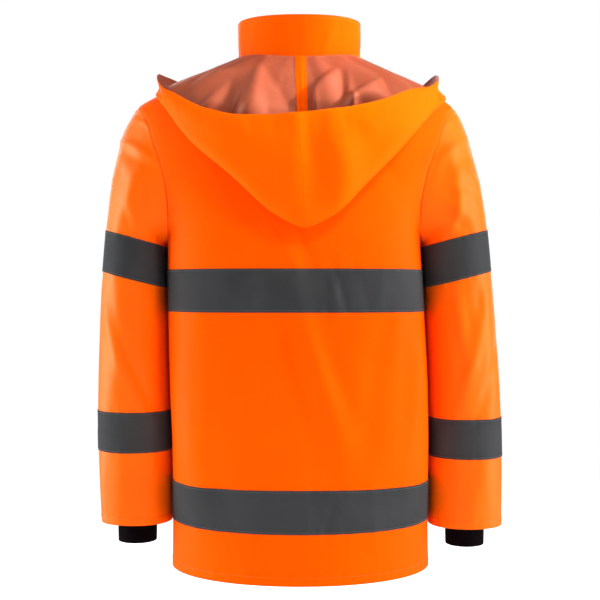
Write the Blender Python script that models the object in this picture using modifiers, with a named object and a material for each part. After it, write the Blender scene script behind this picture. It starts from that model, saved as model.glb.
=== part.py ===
"""Hi-vis work jacket, worn shape with nobody in it.

Metres, +Z up, the front faces -Y and the wearer's left is +X. The origin is the middle of the
neck opening, level with the seam at the back of the neck. Every cut piece is a wall of cloth:
an open sheet through rows of points worked out from the sizes below, given its thickness by
Solidify. Neighbouring pieces are worked out from the same rows, so their seams meet.
"""
import math

import bpy
import numpy as np

# ---------------------------------------------------------------- driving sizes
CLOTH = 0.0020            # coated shell cloth with its lining
COLLAR_CLOTH = 0.0030     # collar, doubled
HOOD_CLOTH = 0.0015       # unlined hood
KNIT = 0.0025             # storm cuff
TAPE = 0.0008             # reflective tape
SEAM = 0.0003             # gap at a seam, and under what is sewn on
EDGE = 0.0004             # a panel stops this far from the line of its seam
ARMHOLE_GAP = 0.0009      # sleeve starts this far out from the armhole's edge

HEM = -0.857              # hem below the neck seam
TIP = -0.075              # shoulder seam's outer end
UNDERARM = -0.295         # bottom of the armhole
ARMHOLE_DEPTH = 0.108     # armhole seam's furthest point from the side, front and back
ARMHOLE_CURVE = 0.28      # exponent of the armhole seam's curve: 0.5 is an ellipse, less is fuller
BAND = 0.070              # width of the reflective tape
BODY_BANDS = {"upper": -0.351, "lower": -0.705}      # upper edge of each band
BAND_INSET = 0.0010       # tape ends short of the side seam

COLLAR_HEIGHT = 0.075
COLLAR_SIDE_DIP = 0.010   # top edge is lower over the shoulders
COLLAR_FLARE = 0.0015     # wider at the top by this much a side
COLLAR_LEAN = 0.0075      # top edge further forward at the centre front
COLLAR_SEAM = 0.00045     # collar's foot above the body's top edge
COLLAR_ROWS = 3
ZIP_HALF = 0.0052         # half the gap between the fronts
ZIP_TAPE = 0.0012
ZIP_SUNK = 0.0004         # zip tape behind the fronts' outer face
ZIP_SHORT = 0.0030        # zip ends short of the hem and of the collar's top
SLEEVE_CLEAR = 0.0040     # sleeve clear of the body below the armhole

STRAIGHT_SHARE = 0.45     # middle share of a panel whose columns don't follow the armhole
FOLLOW_POWER = 1.5        # how late the rest of its columns start to follow it
ROWS_BETWEEN = (-0.475, -0.530, -0.590, -0.650, -0.815)     # body's rows between the bands
BACK_COLUMNS = 20
FRONT_COLUMNS = 10
ARMHOLE_ROWS = 10
HOOD_COLUMNS = 18
HOOD_ROWS = 16

ORANGE = (1.0, 0.13, 0.004)
INSIDE = (0.78, 0.22, 0.12)
GREY = (0.06, 0.06, 0.065)
BLACK = (0.012, 0.010, 0.011)
METAL = (0.10, 0.10, 0.11)


def table(columns, *rows):
    """A short table as one array for each named column."""
    return dict(zip(columns.split(), np.array(rows, dtype=float).T))


# Sections of the body. height: at the side or the shoulder ridge. left, right: half widths.
# back, front: depths. back_drop, front_drop: how much lower the section runs at the centre.
# round: exponent of the section, 2 is an ellipse and more is squarer.
BODY = table(
    "height left    right   back    front   back_drop front_drop round",
    (+0.012, 0.1070, 0.1030, 0.0760, 0.0950, -0.012, -0.082, 2.05),
    (-0.006, 0.1430, 0.1350, 0.0960, 0.1040, -0.016, -0.074, 2.15),
    (-0.030, 0.2030, 0.1880, 0.1150, 0.1150, -0.016, -0.064, 2.25),
    (-0.054, 0.2500, 0.2360, 0.1260, 0.1240, -0.014, -0.055, 2.30),
    (-0.075, 0.2820, 0.2640, 0.1320, 0.1300, -0.011, -0.048, 2.40),
    (-0.100, 0.2880, 0.2700, 0.1380, 0.1370, -0.008, -0.040, 2.65),
    (-0.150, 0.2780, 0.2590, 0.1460, 0.1440, -0.004, -0.026, 3.00),
    (-0.210, 0.2560, 0.2340, 0.1510, 0.1490, -0.001, -0.012, 3.00),
    (-0.265, 0.2340, 0.2110, 0.1540, 0.1520, +0.000, -0.004, 3.00),
    (-0.295, 0.2270, 0.2050, 0.1550, 0.1530, +0.000, +0.000, 3.00),
    (-0.360, 0.2270, 0.2080, 0.1550, 0.1540, +0.000, +0.000, 3.00),
    (-0.450, 0.2260, 0.2130, 0.1540, 0.1540, +0.000, +0.000, 3.00),
    (-0.550, 0.2240, 0.2180, 0.1530, 0.1530, +0.000, +0.000, 2.90),
    (-0.650, 0.2200, 0.2195, 0.1530, 0.1530, +0.000, +0.000, 2.80),
    (-0.705, 0.2195, 0.2195, 0.1535, 0.1535, +0.000, +0.000, 2.60),
    (-0.770, 0.2205, 0.2200, 0.1540, 0.1540, +0.000, +0.000, 2.15),
    (-0.857, 0.2215, 0.2210, 0.1560, 0.1550, +0.000, +0.000, 2.05),
)

# Sections of a sleeve. outer: height of the sleeve's outer edge. left, right: how far out that
# edge is. inner: height of the inner edge. depth: half the section, front to back. centre: the
# section's middle, front to back. lower: how much lower the right sleeve hangs there.
SLEEVE = table(
    "outer   left    right   inner   depth   centre  lower",
    (-0.0750, 0.2840, 0.2660, -0.2950, 0.1100, +0.000, 0.000),
    (-0.0925, 0.2960, 0.2780, -0.2975, 0.1100, +0.000, 0.000),
    (-0.1200, 0.3090, 0.2890, -0.3000, 0.1080, +0.000, 0.000),
    (-0.1600, 0.3180, 0.2995, -0.3030, 0.1030, +0.000, 0.000),
    (-0.2050, 0.3250, 0.3090, -0.3060, 0.0970, +0.000, 0.000),
    (-0.2450, 0.3305, 0.3165, -0.3085, 0.0910, +0.000, 0.000),
    (-0.2820, 0.3345, 0.3215, -0.3110, 0.0860, +0.000, 0.000),
    (-0.3520, 0.3410, 0.3285, -0.3810, 0.0810, -0.001, 0.000),
    (-0.4050, 0.3450, 0.3340, -0.4260, 0.0790, -0.003, 0.002),
    (-0.4700, 0.3480, 0.3400, -0.4820, 0.0770, -0.006, 0.005),
    (-0.5300, 0.3505, 0.3450, -0.5360, 0.0745, -0.009, 0.008),
    (-0.5915, 0.3520, 0.3485, -0.5925, 0.0710, -0.012, 0.012),
    (-0.6610, 0.3515, 0.3505, -0.6610, 0.0670, -0.014, 0.011),
    (-0.7200, 0.3495, 0.3510, -0.7200, 0.0635, -0.015, 0.009),
    (-0.7855, 0.3460, 0.3505, -0.7855, 0.0600, -0.015, 0.006),
)
SLEEVE_ROUND = 2.25
SLEEVE_BANDS = {"upper": (-0.2820, -0.3520), "lower": (-0.5915, -0.6610)}
SLEEVE_ROWS = (-0.0750, -0.0925, -0.1200, -0.1600, -0.2050, -0.2450, -0.2820, -0.3170, -0.3520,
               -0.4050, -0.4450, -0.4900, -0.5350, -0.5915, -0.6260, -0.6610, -0.7200, -0.7855)
CAP_END = -0.205          # outer height where the sleeve has left the armhole's shape

# Largest folds, each a row of: where it starts across the piece, how far it slants over its
# length, the heights it starts and ends at, its width and how far it stands out. Across the
# body is degrees from the left side, across a sleeve degrees from its outer edge, and across
# the hood stations. The hood's folds start and end by their share of the way to the rim.
BODY_FOLDS = (
    (76, +44, -0.27, -0.72, 7.0, +0.0055),
    (62, +42, -0.30, -0.70, 6.0, -0.0035),
    (38, -4.0, -0.36, -0.82, 7.0, +0.0050),
    (24, +1.0, -0.33, -0.60, 5.0, -0.0030),
    (148, +5, -0.38, -0.80, 8.0, +0.0050),
    (132, -6, -0.42, -0.70, 6.0, -0.0035),
    (-38, -8, -0.20, -0.78, 7.0, +0.0050),
    (-58, +10, -0.28, -0.76, 6.0, -0.0035),
    (-20, +2, -0.34, -0.66, 6.0, +0.0030),
    (220, +6, -0.22, -0.82, 7.0, +0.0050),
    (238, -9, -0.20, -0.62, 6.0, -0.0035),
    (204, +2, -0.40, -0.80, 6.0, +0.0030),
)
SLEEVE_FOLDS = {
    "left": ((30, +75, -0.36, -0.58, 12, +0.0040), (62, +80, -0.42, -0.62, 11, -0.0030),
             (70, +30, -0.10, -0.26, 11, +0.0035), (262, 50, -0.36, -0.56, 12, +0.0040),
             (236, 60, -0.42, -0.62, 11, -0.0030), (40, -10, -0.66, -0.80, 14, +0.0025)),
    "right": ((50, +60, -0.37, -0.60, 12, +0.0040), (20, +70, -0.44, -0.62, 11, -0.0030),
              (60, +45, -0.10, -0.27, 11, +0.0035), (250, 55, -0.38, -0.60, 12, +0.0040),
              (285, 20, -0.44, -0.62, 11, -0.0030), (75, 15, -0.66, -0.80, 14, +0.0025)),
}
HOOD_FOLDS = (
    (7.3, +1.1, -0.05, 0.42, 0.48, +0.0095),
    (5.9, +0.8, -0.05, 0.42, 0.48, +0.0085),
    (6.6, +0.9, -0.05, 0.38, 0.40, -0.0020),
    (8.6, +0.8, -0.05, 0.42, 0.45, +0.0065),
    (11.6, -0.3, -0.05, 0.40, 0.45, +0.0080),
    (13.2, -0.6, -0.05, 0.42, 0.48, +0.0095),
    (14.4, -0.9, -0.05, 0.40, 0.45, +0.0075),
    (9.6, +0.3, 0.62, 1.10, 0.50, +0.0050),
    (11.2, +0.2, 0.60, 1.05, 0.45, +0.0060),
    (12.4, -0.6, 0.60, 1.05, 0.50, -0.0040),
)

# Knitted cuff below the ring where it is sewn to the sleeve's inside. height: up from the
# sleeve's end. width, depth: half sizes.
CUFF = table(
    "height  width   depth",
    (+0.0220, 0.0440, 0.0440),
    (+0.0060, 0.0350, 0.0340),
    (-0.0120, 0.0335, 0.0315),
    (-0.0370, 0.0330, 0.0310),
)
CUFF_SEWN = 0.4           # share of the sleeve's last stretch where the cuff is sewn in

# Stations of the hood, which hangs inside out down the back. angle: where the station leaves
# the neck seam, 90 is the centre back and 0 the shoulder. fold: the bottom of the pouch.
# rim: the face opening's edge. swell: fullness of the outer layer. turn: half thickness of the
# fold. The first and last stations are the fronts, the tenth is the centre seam.
HOOD = table(
    "angle  fold_x   fold_y   fold_z   rim_x    rim_y    rim_z    swell  turn",
    (-74.0, +0.0360, -0.1010, -0.0760, +0.0380, -0.1050, -0.0700, 0.000, 0.0015),
    (-56.0, +0.0960, -0.1080, -0.0740, +0.1000, -0.1140, -0.0600, 0.000, 0.0020),
    (-36.0, +0.1600, -0.0900, -0.0640, +0.1670, -0.0950, -0.0420, 0.000, 0.0030),
    (-14.0, +0.2080, -0.0360, -0.0480, +0.2190, -0.0330, -0.0190, 0.002, 0.0040),
    (+6.00, +0.2240, +0.0240, -0.0420, +0.2450, +0.0220, -0.0160, 0.003, 0.0050),
    (+21.0, +0.2230, +0.0700, -0.0620, +0.2270, +0.0780, -0.0500, 0.004, 0.0060),
    (+34.0, +0.2110, +0.1080, -0.0920, +0.2030, +0.1230, -0.0690, 0.008, 0.0075),
    (+50.0, +0.1690, +0.1470, -0.1500, +0.1500, +0.1680, -0.0970, 0.012, 0.0090),
    (+66.0, +0.1060, +0.1680, -0.2070, +0.0960, +0.1900, -0.1110, 0.013, 0.0095),
    (+80.0, +0.0420, +0.1740, -0.2660, +0.0460, +0.1960, -0.1120, 0.012, 0.0095),
    (+90.0, -0.0060, +0.1750, -0.2880, +0.0060, +0.1980, -0.1095, 0.010, 0.0090),
    (+100., -0.0500, +0.1740, -0.2700, -0.0340, +0.1960, -0.1050, 0.012, 0.0095),
    (+114., -0.1060, +0.1680, -0.2160, -0.0800, +0.1890, -0.0980, 0.013, 0.0095),
    (+130., -0.1620, +0.1470, -0.1560, -0.1260, +0.1690, -0.0850, 0.012, 0.0090),
    (+146., -0.2040, +0.1100, -0.1020, -0.1760, +0.1300, -0.0640, 0.008, 0.0075),
    (+159., -0.2190, +0.0700, -0.0720, -0.2150, +0.0700, -0.0460, 0.004, 0.0060),
    (+174., -0.2200, +0.0240, -0.0480, -0.2350, +0.0220, -0.0180, 0.003, 0.0050),
    (+194., -0.1980, -0.0360, -0.0500, -0.2070, -0.0330, -0.0340, 0.002, 0.0040),
    (+216., -0.1560, -0.0900, -0.0640, -0.1630, -0.0950, -0.0430, 0.000, 0.0030),
    (+236., -0.0960, -0.1080, -0.0740, -0.1000, -0.1140, -0.0600, 0.000, 0.0020),
    (+254., -0.0360, -0.1010, -0.0760, -0.0380, -0.1050, -0.0700, 0.000, 0.0015),
)
HOOD_CENTRE = 10.0        # station of the centre seam
HOOD_CLEAR = 0.0045       # hood clear of the shoulders and the back
HOOD_CLEAR_BY = 0.12      # share of the way to the rim by which it is clear of them
HOOD_SOFTNESS = 0.004     # it is pushed clear gradually over this distance
HOOD_LAID_FROM = 30       # softnesses from which the gradual push is a plain one
HOOD_RIDGE = 1.2          # and this much more over the shoulder seams
HOOD_LIFT = 0.0026        # hood's neck edge above the body's
HOOD_NECK_GAP = 0.0008    # hood's neck edge clear of the collar
HOOD_HALF_SEAM = 0.0005   # each hood panel stops this far from the centre seam
HOOD_INNER_SHARES = (0.12, 0.3, 0.5, 0.7, 0.86)      # control points from the neck to the fold
HOOD_OUTER_SHARES = (0.18, 0.45, 0.75)               # and from the fold to the rim
SEAM_TAPE_HALF = 0.0090
SEAM_TAPE_FACET = 0.95    # and no wider than this share of the hood's first facet
SEAM_TAPE = 0.0005

# Slider, its lugs and pin, and the pull that swings on the pin.
SLIDER_Z = -0.0120
SLIDER_WIDTH, SLIDER_LENGTH, SLIDER_DEPTH = 0.0090, 0.0130, 0.0042
LUG_WIDTH, LUG_LENGTH, LUG_DEPTH = 0.0014, 0.0046, 0.0050
LUG_SPAN = 0.0074         # outside to outside
LUG_SUNK = 0.0008         # lugs start this far inside the slider
SLIDER_ROUND, PULL_ROUND = 0.0009, 0.0005
PIN_RADIUS = 0.0008
PIN_OUT, PIN_UP = 0.0032, 0.0020      # pin from the slider's face, and above its middle
NECK_WIDTH, NECK_LENGTH = 0.0032, 0.0030
NECK_HIDDEN = 0.0020      # the part of the neck that is inside the eye and the tab
EYE_OUTER, EYE_INNER, EYE_WIDTH = 0.0022, 0.0012, 0.0038
JOIN = 0.0006             # the pull's neck runs this far into its eye, and twice that at its top
PULL_WIDTH, PULL_LENGTH, PULL_THICK = 0.0072, 0.0300, 0.0016


# ---------------------------------------------------------------- curves through the tables
def smooth(x, xs, ys):
    """Value at x of a cubic through the points (xs, ys) that never overshoots them."""
    order = np.argsort(xs)
    xs, ys = xs[order], ys[order]
    x = np.clip(np.asarray(x, dtype=float), xs[0], xs[-1])
    step = np.diff(xs)
    rise = np.diff(ys) / step
    slope = np.zeros_like(ys)
    slope[0], slope[-1] = rise[0], rise[-1]
    same_way = rise[:-1] * rise[1:] > 0
    both = np.where(same_way, rise[:-1] + rise[1:], 1.0)
    slope[1:-1] = np.where(same_way, 2 * rise[:-1] * rise[1:] / both, 0.0)
    i = np.clip(np.searchsorted(xs, x, side="right") - 1, 0, len(step) - 1)
    t = (x - xs[i]) / step[i]
    return (ys[i] * (1 + 2 * t) * (1 - t) ** 2 + ys[i + 1] * t * t * (3 - 2 * t)
            + step[i] * t * (1 - t) * (slope[i] * (1 - t) - slope[i + 1] * t))


def ease(t):
    """0 to 1 with level ends."""
    t = np.clip(t, 0.0, 1.0)
    return t * t * (3 - 2 * t)


def normals_of(points, closed=False, flip=False):
    """Unit normals of a grid (rows, columns, xyz), from its rows and columns."""
    wide = np.concatenate([points[:, -1:], points, points[:, :1]], axis=1) if closed else points
    along, down = np.gradient(wide, axis=1), np.gradient(wide, axis=0)
    normal = np.cross(along, down) * (-1 if flip else 1)
    normal = normal[:, 1:-1] if closed else normal
    return normal / np.maximum(np.linalg.norm(normal, axis=2, keepdims=True), 1e-12)


def folds(across, down, rows):
    """Height of the soft folds at a place: each a ridge or trough that fades at both ends."""
    height = 0.0 * (across + down)
    for at, slant, start, end, width, rise in rows:
        share = (down - start) / (end - start)
        window = np.where((share > 0) & (share < 1), np.sin(math.pi * np.clip(share, 0, 1)), 0)
        height = height + rise * window * np.exp(-((across - at - slant * share) / width) ** 2)
    return height


# ---------------------------------------------------------------- the body
def body_size(column, height):
    return smooth(height, BODY["height"], BODY[column])


def section(angle, height):
    """Point of the body at an angle from the left side (90 degrees is the centre back)."""
    across, deep = np.cos(angle), np.sin(angle)
    width = np.where(across >= 0, body_size("left", height), body_size("right", height))
    depth = np.where(deep >= 0, body_size("back", height), body_size("front", height))
    drop = np.where(deep >= 0, body_size("back_drop", height), body_size("front_drop", height))
    power = body_size("round", height)
    radius = ((np.abs(across) / width) ** power + (np.abs(deep) / depth) ** power) ** (-1 / power)
    radius = radius + folds(np.degrees(angle), height, BODY_FOLDS)
    return np.stack([radius * across, radius * deep, height + drop * deep ** 2], axis=-1)


def edge_angle(height, side, face):
    """Angle of the armhole seam from the side, on the back (face 1) or the front (face -1)."""
    width = body_size("left" if side > 0 else "right", height)
    depth = body_size("back" if face > 0 else "front", height)
    power = body_size("round", height)
    level = np.clip(2 * (TIP - height) / (TIP - UNDERARM) - 1, -1, 1)
    edge = ARMHOLE_DEPTH * (1 - level ** 2) ** ARMHOLE_CURVE
    across = width * np.maximum(1 - (edge / depth) ** power, 0) ** (1 / power)
    return np.arctan2(edge + EDGE, across)


def armhole_heights():
    turn = np.linspace(0, math.pi, ARMHOLE_ROWS + 1)
    return TIP + (UNDERARM - TIP) * (1 - np.cos(turn)) / 2


def body_rows():
    yoke = BODY["height"][:4]
    below = []
    for top in BODY_BANDS.values():
        below += [top, top - BAND / 2, top - BAND]
    return np.array(sorted([*yoke, *armhole_heights(), *below, *ROWS_BETWEEN, HEM], reverse=True))


def squeezed(share):
    """How far a column follows the armhole seam: none of it in the panel's middle, all at 1."""
    return np.clip((share - STRAIGHT_SHARE) / (1 - STRAIGHT_SHARE), 0, 1) ** FOLLOW_POWER


def back_grid(rows):
    """Back panel: rows down the back, columns from the left side seam to the right one."""
    height = rows[:, None]
    share = np.linspace(-1, 1, BACK_COLUMNS + 1)[None, :]
    edge = np.where(share < 0, edge_angle(height, 1, 1), edge_angle(height, -1, 1))
    swept = math.pi / 2 * (1 - np.abs(share)) + edge * squeezed(np.abs(share))
    return section(np.where(share < 0, swept, math.pi - swept), height + 0 * share)


def front_grid(rows, side):
    """One front: rows down it, columns from the side seam to the zip."""
    height = rows[:, None]
    share = np.linspace(1, 0, FRONT_COLUMNS + 1)[None, :]
    stop = math.pi / 2 - ZIP_HALF / body_size("front", height)
    swept = stop * (1 - share) + edge_angle(height, side, -1) * squeezed(share)
    angle = -swept if side > 0 else math.pi + swept
    return section(angle, height + 0 * share)


# ---------------------------------------------------------------- sleeves and cuffs
def sleeve_size(column, outer):
    return smooth(outer, SLEEVE["outer"], SLEEVE[column])


def armhole(side):
    """The armhole seam as a closed ring: shoulder tip, back, underarm, front."""
    heights = armhole_heights()
    ring = []
    for face, run in ((1, heights[:-1]), (-1, heights[:0:-1])):
        angle = face * edge_angle(run, side, face)
        ring.append(section(angle if side > 0 else math.pi - angle, run))
    return np.concatenate(ring)


def sleeve_grid(side, outer):
    """Rings of a sleeve at the given heights of its outer edge, columns as the armhole's."""
    columns = 2 * ARMHOLE_ROWS
    around = np.linspace(0, 2 * math.pi, columns, endpoint=False)[None, :]
    outer = np.asarray(outer)[:, None]
    name = "left" if side > 0 else "right"
    inner = sleeve_size("inner", outer)
    out_x = sleeve_size(name, outer)
    in_x = body_size(name, inner) + SLEEVE_CLEAR * ease((TIP - outer) / (TIP - CAP_END))
    across, deep = np.cos(around), np.sin(around)
    k = (np.abs(across) ** SLEEVE_ROUND + np.abs(deep) ** SLEEVE_ROUND) ** (-1 / SLEEVE_ROUND)
    k = k * (1 + folds(np.degrees(around), outer, SLEEVE_FOLDS[name]) / SLEEVE["depth"][-1])
    x = (out_x + in_x) / 2 + k * across * (out_x - in_x) / 2
    y = sleeve_size("centre", outer) + k * deep * sleeve_size("depth", outer)
    z = (outer + inner) / 2 + k * across * (outer - inner) / 2
    if side < 0:
        z = z - sleeve_size("lower", outer)
    rings = np.stack([x * side, y, z], axis=-1)
    top = sleeve_ring_at_tip(side, around[0])
    pull = 1 - ease((TIP - outer) / (TIP - CAP_END))
    rings = rings + pull[..., None] * (armhole(side) - top)[None]
    rings[..., 0] += side * ARMHOLE_GAP
    return rings


def sleeve_ring_at_tip(side, around):
    """The first ring by the sleeve's own sizes, before it is moved onto the armhole."""
    name = "left" if side > 0 else "right"
    out_x, in_x = sleeve_size(name, TIP), body_size(name, UNDERARM)
    inner = sleeve_size("inner", TIP)
    across, deep = np.cos(around), np.sin(around)
    k = (np.abs(across) ** SLEEVE_ROUND + np.abs(deep) ** SLEEVE_ROUND) ** (-1 / SLEEVE_ROUND)
    x = side * ((out_x + in_x) / 2 + k * across * (out_x - in_x) / 2)
    z = (TIP + inner) / 2 + k * across * (TIP - inner) / 2
    return np.stack([x, k * deep * sleeve_size("depth", TIP), z], axis=-1)


def cuff_grid(side):
    """Rings of a cuff: the first on the inside of the sleeve, the rest closing on the wrist."""
    stretch = sleeve_grid(side, SLEEVE_ROWS[-2:])
    inward = -normals_of(stretch, closed=True, flip=side > 0)
    above, end = stretch + inward * (CLOTH + EDGE)
    sewn = above + CUFF_SEWN * (end - above)
    middle = (stretch[1].max(axis=0) + stretch[1].min(axis=0)) / 2
    around = np.linspace(0, 2 * math.pi, 2 * ARMHOLE_ROWS, endpoint=False)[None, :]
    width, depth, height = (CUFF[name][:, None] for name in ("width", "depth", "height"))
    x = middle[0] + side * width * np.cos(around)
    y = middle[1] + depth * np.sin(around)
    wrist = np.stack([x, y, middle[2] + height + 0 * around], axis=-1)
    return np.concatenate([sewn[None], wrist])


# ---------------------------------------------------------------- collar
def collar_point(angle, share):
    """Point of the collar: share 0 is the neck seam and 1 the top edge."""
    foot = section(angle, BODY["height"][0] + 0 * angle)
    frontness = (1 - np.sin(angle)) / 2
    rise = COLLAR_HEIGHT - COLLAR_SIDE_DIP * np.cos(angle) ** 2
    lean = np.stack([COLLAR_FLARE * np.cos(angle), -COLLAR_LEAN * frontness, rise], axis=-1)
    foot[..., 2] += COLLAR_SEAM
    return foot + share * lean


def collar_grid():
    """Collar: rows up from the neck seam, columns from the left front round to the right."""
    back = np.linspace(0, math.pi, BACK_COLUMNS + 1)
    stop = math.pi / 2 - ZIP_HALF / BODY["front"][0]
    front = np.linspace(0, stop, FRONT_COLUMNS + 1)
    angle = np.concatenate([-front[:0:-1], back, math.pi + front[1:]])
    return np.array([collar_point(angle, share) for share in np.linspace(0, 1, COLLAR_ROWS + 1)])


# ---------------------------------------------------------------- sewn-on bands and the zip
def band_grid(panel, rows, wanted, closed=False, flip=False):
    """Outer face of a tape: the panel's own points at the wanted rows, moved out."""
    picked = [int(np.argmin(np.abs(rows - level))) for level in wanted]
    outward = normals_of(panel, closed, flip)[picked]
    band = panel[picked] + outward * (SEAM + TAPE)
    if not closed:
        for edge, inner in ((0, 1), (-1, -2)):
            step = band[:, inner] - band[:, edge]
            reach = np.linalg.norm(step, axis=1, keepdims=True)
            band[:, edge] += step / reach * BAND_INSET
    return band


def centre_front(across):
    """The zip's line from the hem to the collar's top, at a distance across from the centre."""
    rows = body_rows()[::-1]
    body = section(-math.pi / 2 + across / body_size("front", rows), rows)
    shares = np.linspace(0, 1, COLLAR_ROWS + 1)
    angle = np.array(-math.pi / 2 + across / BODY["front"][0])
    neck = np.array([collar_point(angle, share) for share in shares])
    line = np.concatenate([body, neck[1:]])
    line[0, 2] += ZIP_SHORT
    line[-1, 2] -= ZIP_SHORT
    line[:, 1] += ZIP_SUNK
    return line


def zip_tape_grid(side):
    return np.stack([centre_front(side * SEAM), centre_front(side * (ZIP_HALF - SEAM))], axis=1)


# ---------------------------------------------------------------- hood
def clear_of_body(points, gap):
    """Points pushed straight out from the body's axis until they are gap outside its panels."""
    angle = np.arctan2(points[..., 1], points[..., 0])
    deep, across = np.sin(angle), np.cos(angle)
    height = points[..., 2]
    for _ in range(6):
        drop = np.where(deep >= 0, body_size("back_drop", height), body_size("front_drop", height))
        height = points[..., 2] - drop * deep ** 2
    width = np.where(across >= 0, body_size("left", height), body_size("right", height))
    depth = np.where(deep >= 0, body_size("back", height), body_size("front", height))
    power = body_size("round", height)
    radius = ((np.abs(across) / width) ** power + (np.abs(deep) / depth) ** power) ** (-1 / power)
    far = np.hypot(points[..., 0], points[..., 1])
    short = (radius + gap - far) / HOOD_SOFTNESS
    soft = np.log1p(np.exp(np.minimum(short, HOOD_LAID_FROM)))
    push = HOOD_SOFTNESS * np.where(short > HOOD_LAID_FROM, short, soft)
    moved = points.copy()
    moved[..., 0] += push * across
    moved[..., 1] += push * deep
    return moved


def hood_controls(station):
    """Control points of the hood's sections, from the neck seam to the rim."""
    spots = np.arange(len(HOOD["angle"]), dtype=float)

    def at(name):
        return smooth(station, spots, HOOD[name])

    angle = np.radians(at("angle"))
    outward = np.stack([np.cos(angle), np.sin(angle), 0 * angle], axis=-1)
    neck = collar_point(angle, HOOD_LIFT / COLLAR_HEIGHT) + outward * HOOD_NECK_GAP
    fold = np.stack([at("fold_x"), at("fold_y"), at("fold_z")], axis=-1)
    rim = np.stack([at("rim_x"), at("rim_y"), at("rim_z")], axis=-1)
    away = fold * (1, 1, 0)
    away = away / np.linalg.norm(away, axis=1, keepdims=True)
    turn, swell = at("turn")[:, None], at("swell")[:, None]
    inner = [neck] + [neck + share * (fold - neck) for share in HOOD_INNER_SHARES]
    bottom = [fold - away * turn, fold + away * turn]
    outer = [fold + share * (rim - fold) + away * (turn * (1 - share) + swell)
             for share in HOOD_OUTER_SHARES]
    return np.stack(inner + bottom + outer + [rim], axis=0)


def bspline(controls, t):
    """Clamped uniform cubic B-spline through the first and last control point."""
    count = len(controls)
    knots = np.concatenate([[0] * 3, np.arange(count - 2), [count - 3] * 3]).astype(float)
    t = np.clip(np.asarray(t) * (count - 3), 0, count - 3 - 1e-9)
    weight = np.array([(t >= a) & (t < b) for a, b in zip(knots[:-1], knots[1:])], dtype=float)
    for degree in (1, 2, 3):
        fresh = []
        for i in range(len(weight) - 1):
            low = knots[i + degree] - knots[i]
            high = knots[i + degree + 1] - knots[i + 1]
            part = (t - knots[i]) / low * weight[i] if low else 0 * t
            part = part + ((knots[i + degree + 1] - t) / high * weight[i + 1] if high else 0)
            fresh.append(part)
        weight = np.array(fresh)
    return np.einsum("kt,ksx->tsx", weight, controls)


def hood_grid(stations, t):
    """The hood's sheet, outer face of the cloth: rows from neck to rim, columns by station."""
    points = bspline(hood_controls(stations), t)
    share = np.asarray(t)[:, None]
    gap = HOOD_CLEAR * ease(share / HOOD_CLEAR_BY)
    ridge = points[..., 0] ** 2 / (points[..., 0] ** 2 + points[..., 1] ** 2)
    cleared = clear_of_body(points, gap * (1 + HOOD_RIDGE * ridge))
    points = points + (cleared - points) * ease(share * HOOD_ROWS)[..., None]
    away = points * (1, 1, 0)
    away = away / np.linalg.norm(away, axis=-1, keepdims=True)
    return points + folds(stations[None, :], share, HOOD_FOLDS)[..., None] * away


def seam_tape_grid(left, right):
    """Tape over the centre seam: on the first facets of both hood panels, on their inside."""
    middle = (left[:, 0] + right[:, 0]) / 2
    columns = []
    for panel in (left, right):
        step = panel[:, 1] - panel[:, 0]
        reach = np.linalg.norm(step, axis=1, keepdims=True)
        columns.append(middle + step / reach * np.minimum(SEAM_TAPE_HALF, SEAM_TAPE_FACET * reach))
    strip = np.stack([columns[0], middle, columns[1]], axis=1)
    inward = -normals_of(strip)
    return (strip + inward * (HOOD_CLOTH + EDGE))[:-1]


# ---------------------------------------------------------------- making the solids
def finish(name, colour, roughness, metallic=0.0):
    material = bpy.data.materials.new(name)
    material.use_nodes = True
    shader = material.node_tree.nodes["Principled BSDF"]
    shader.inputs["Base Color"].default_value = (*colour, 1)
    shader.inputs["Roughness"].default_value = roughness
    shader.inputs["Metallic"].default_value = metallic
    return material


def add_object(name, mesh, material, collection):
    piece = bpy.data.objects.new(name, mesh)
    mesh.materials.append(material)
    collection.objects.link(piece)
    mesh.shade_smooth()
    return piece


def sheet(name, points, material, collection, wall, closed=False, flip=False):
    """A wall of cloth: an open sheet through a grid of points, thickened inwards."""
    rows, columns = points.shape[:2]
    mesh = bpy.data.meshes.new(name)
    faces = []
    for row in range(rows - 1):
        for column in range(columns if closed else columns - 1):
            after = (column + 1) % columns
            corners = [row * columns + column, row * columns + after,
                       (row + 1) * columns + after, (row + 1) * columns + column]
            faces.append(corners[::-1] if flip else corners)
    mesh.from_pydata(points.reshape(-1, 3).tolist(), [], faces)
    mesh.update()
    piece = add_object(name, mesh, material, collection)
    thick = piece.modifiers.new("wall", "SOLIDIFY")
    thick.thickness = wall
    thick.offset = -1.0
    return piece


def primitive(maker, collection, **options):
    """A primitive with its size applied, moved into the given collection."""
    size = options.pop("size_xyz", None)
    maker(**options)
    piece = bpy.context.object
    if size:
        piece.scale = size
        bpy.ops.object.transform_apply(location=False, rotation=False, scale=True)
    for owner in list(piece.users_collection):
        owner.objects.unlink(piece)
    collection.objects.link(piece)
    return piece


def combine(piece, other, operation):
    """Boolean of piece with another object, which becomes a hidden helper."""
    step = piece.modifiers.new(operation.lower(), "BOOLEAN")
    step.operation = operation
    step.object = other
    other.hide_render = True
    other.display_type = "WIRE"


def zip_place():
    """The slider's middle on the zip's outer face, and how far the zip leans there."""
    line = centre_front(0.0)
    place = np.array([np.interp(SLIDER_Z, line[:, 2], line[:, axis]) for axis in range(3)])
    return place, math.atan2(COLLAR_LEAN, COLLAR_HEIGHT)


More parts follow.
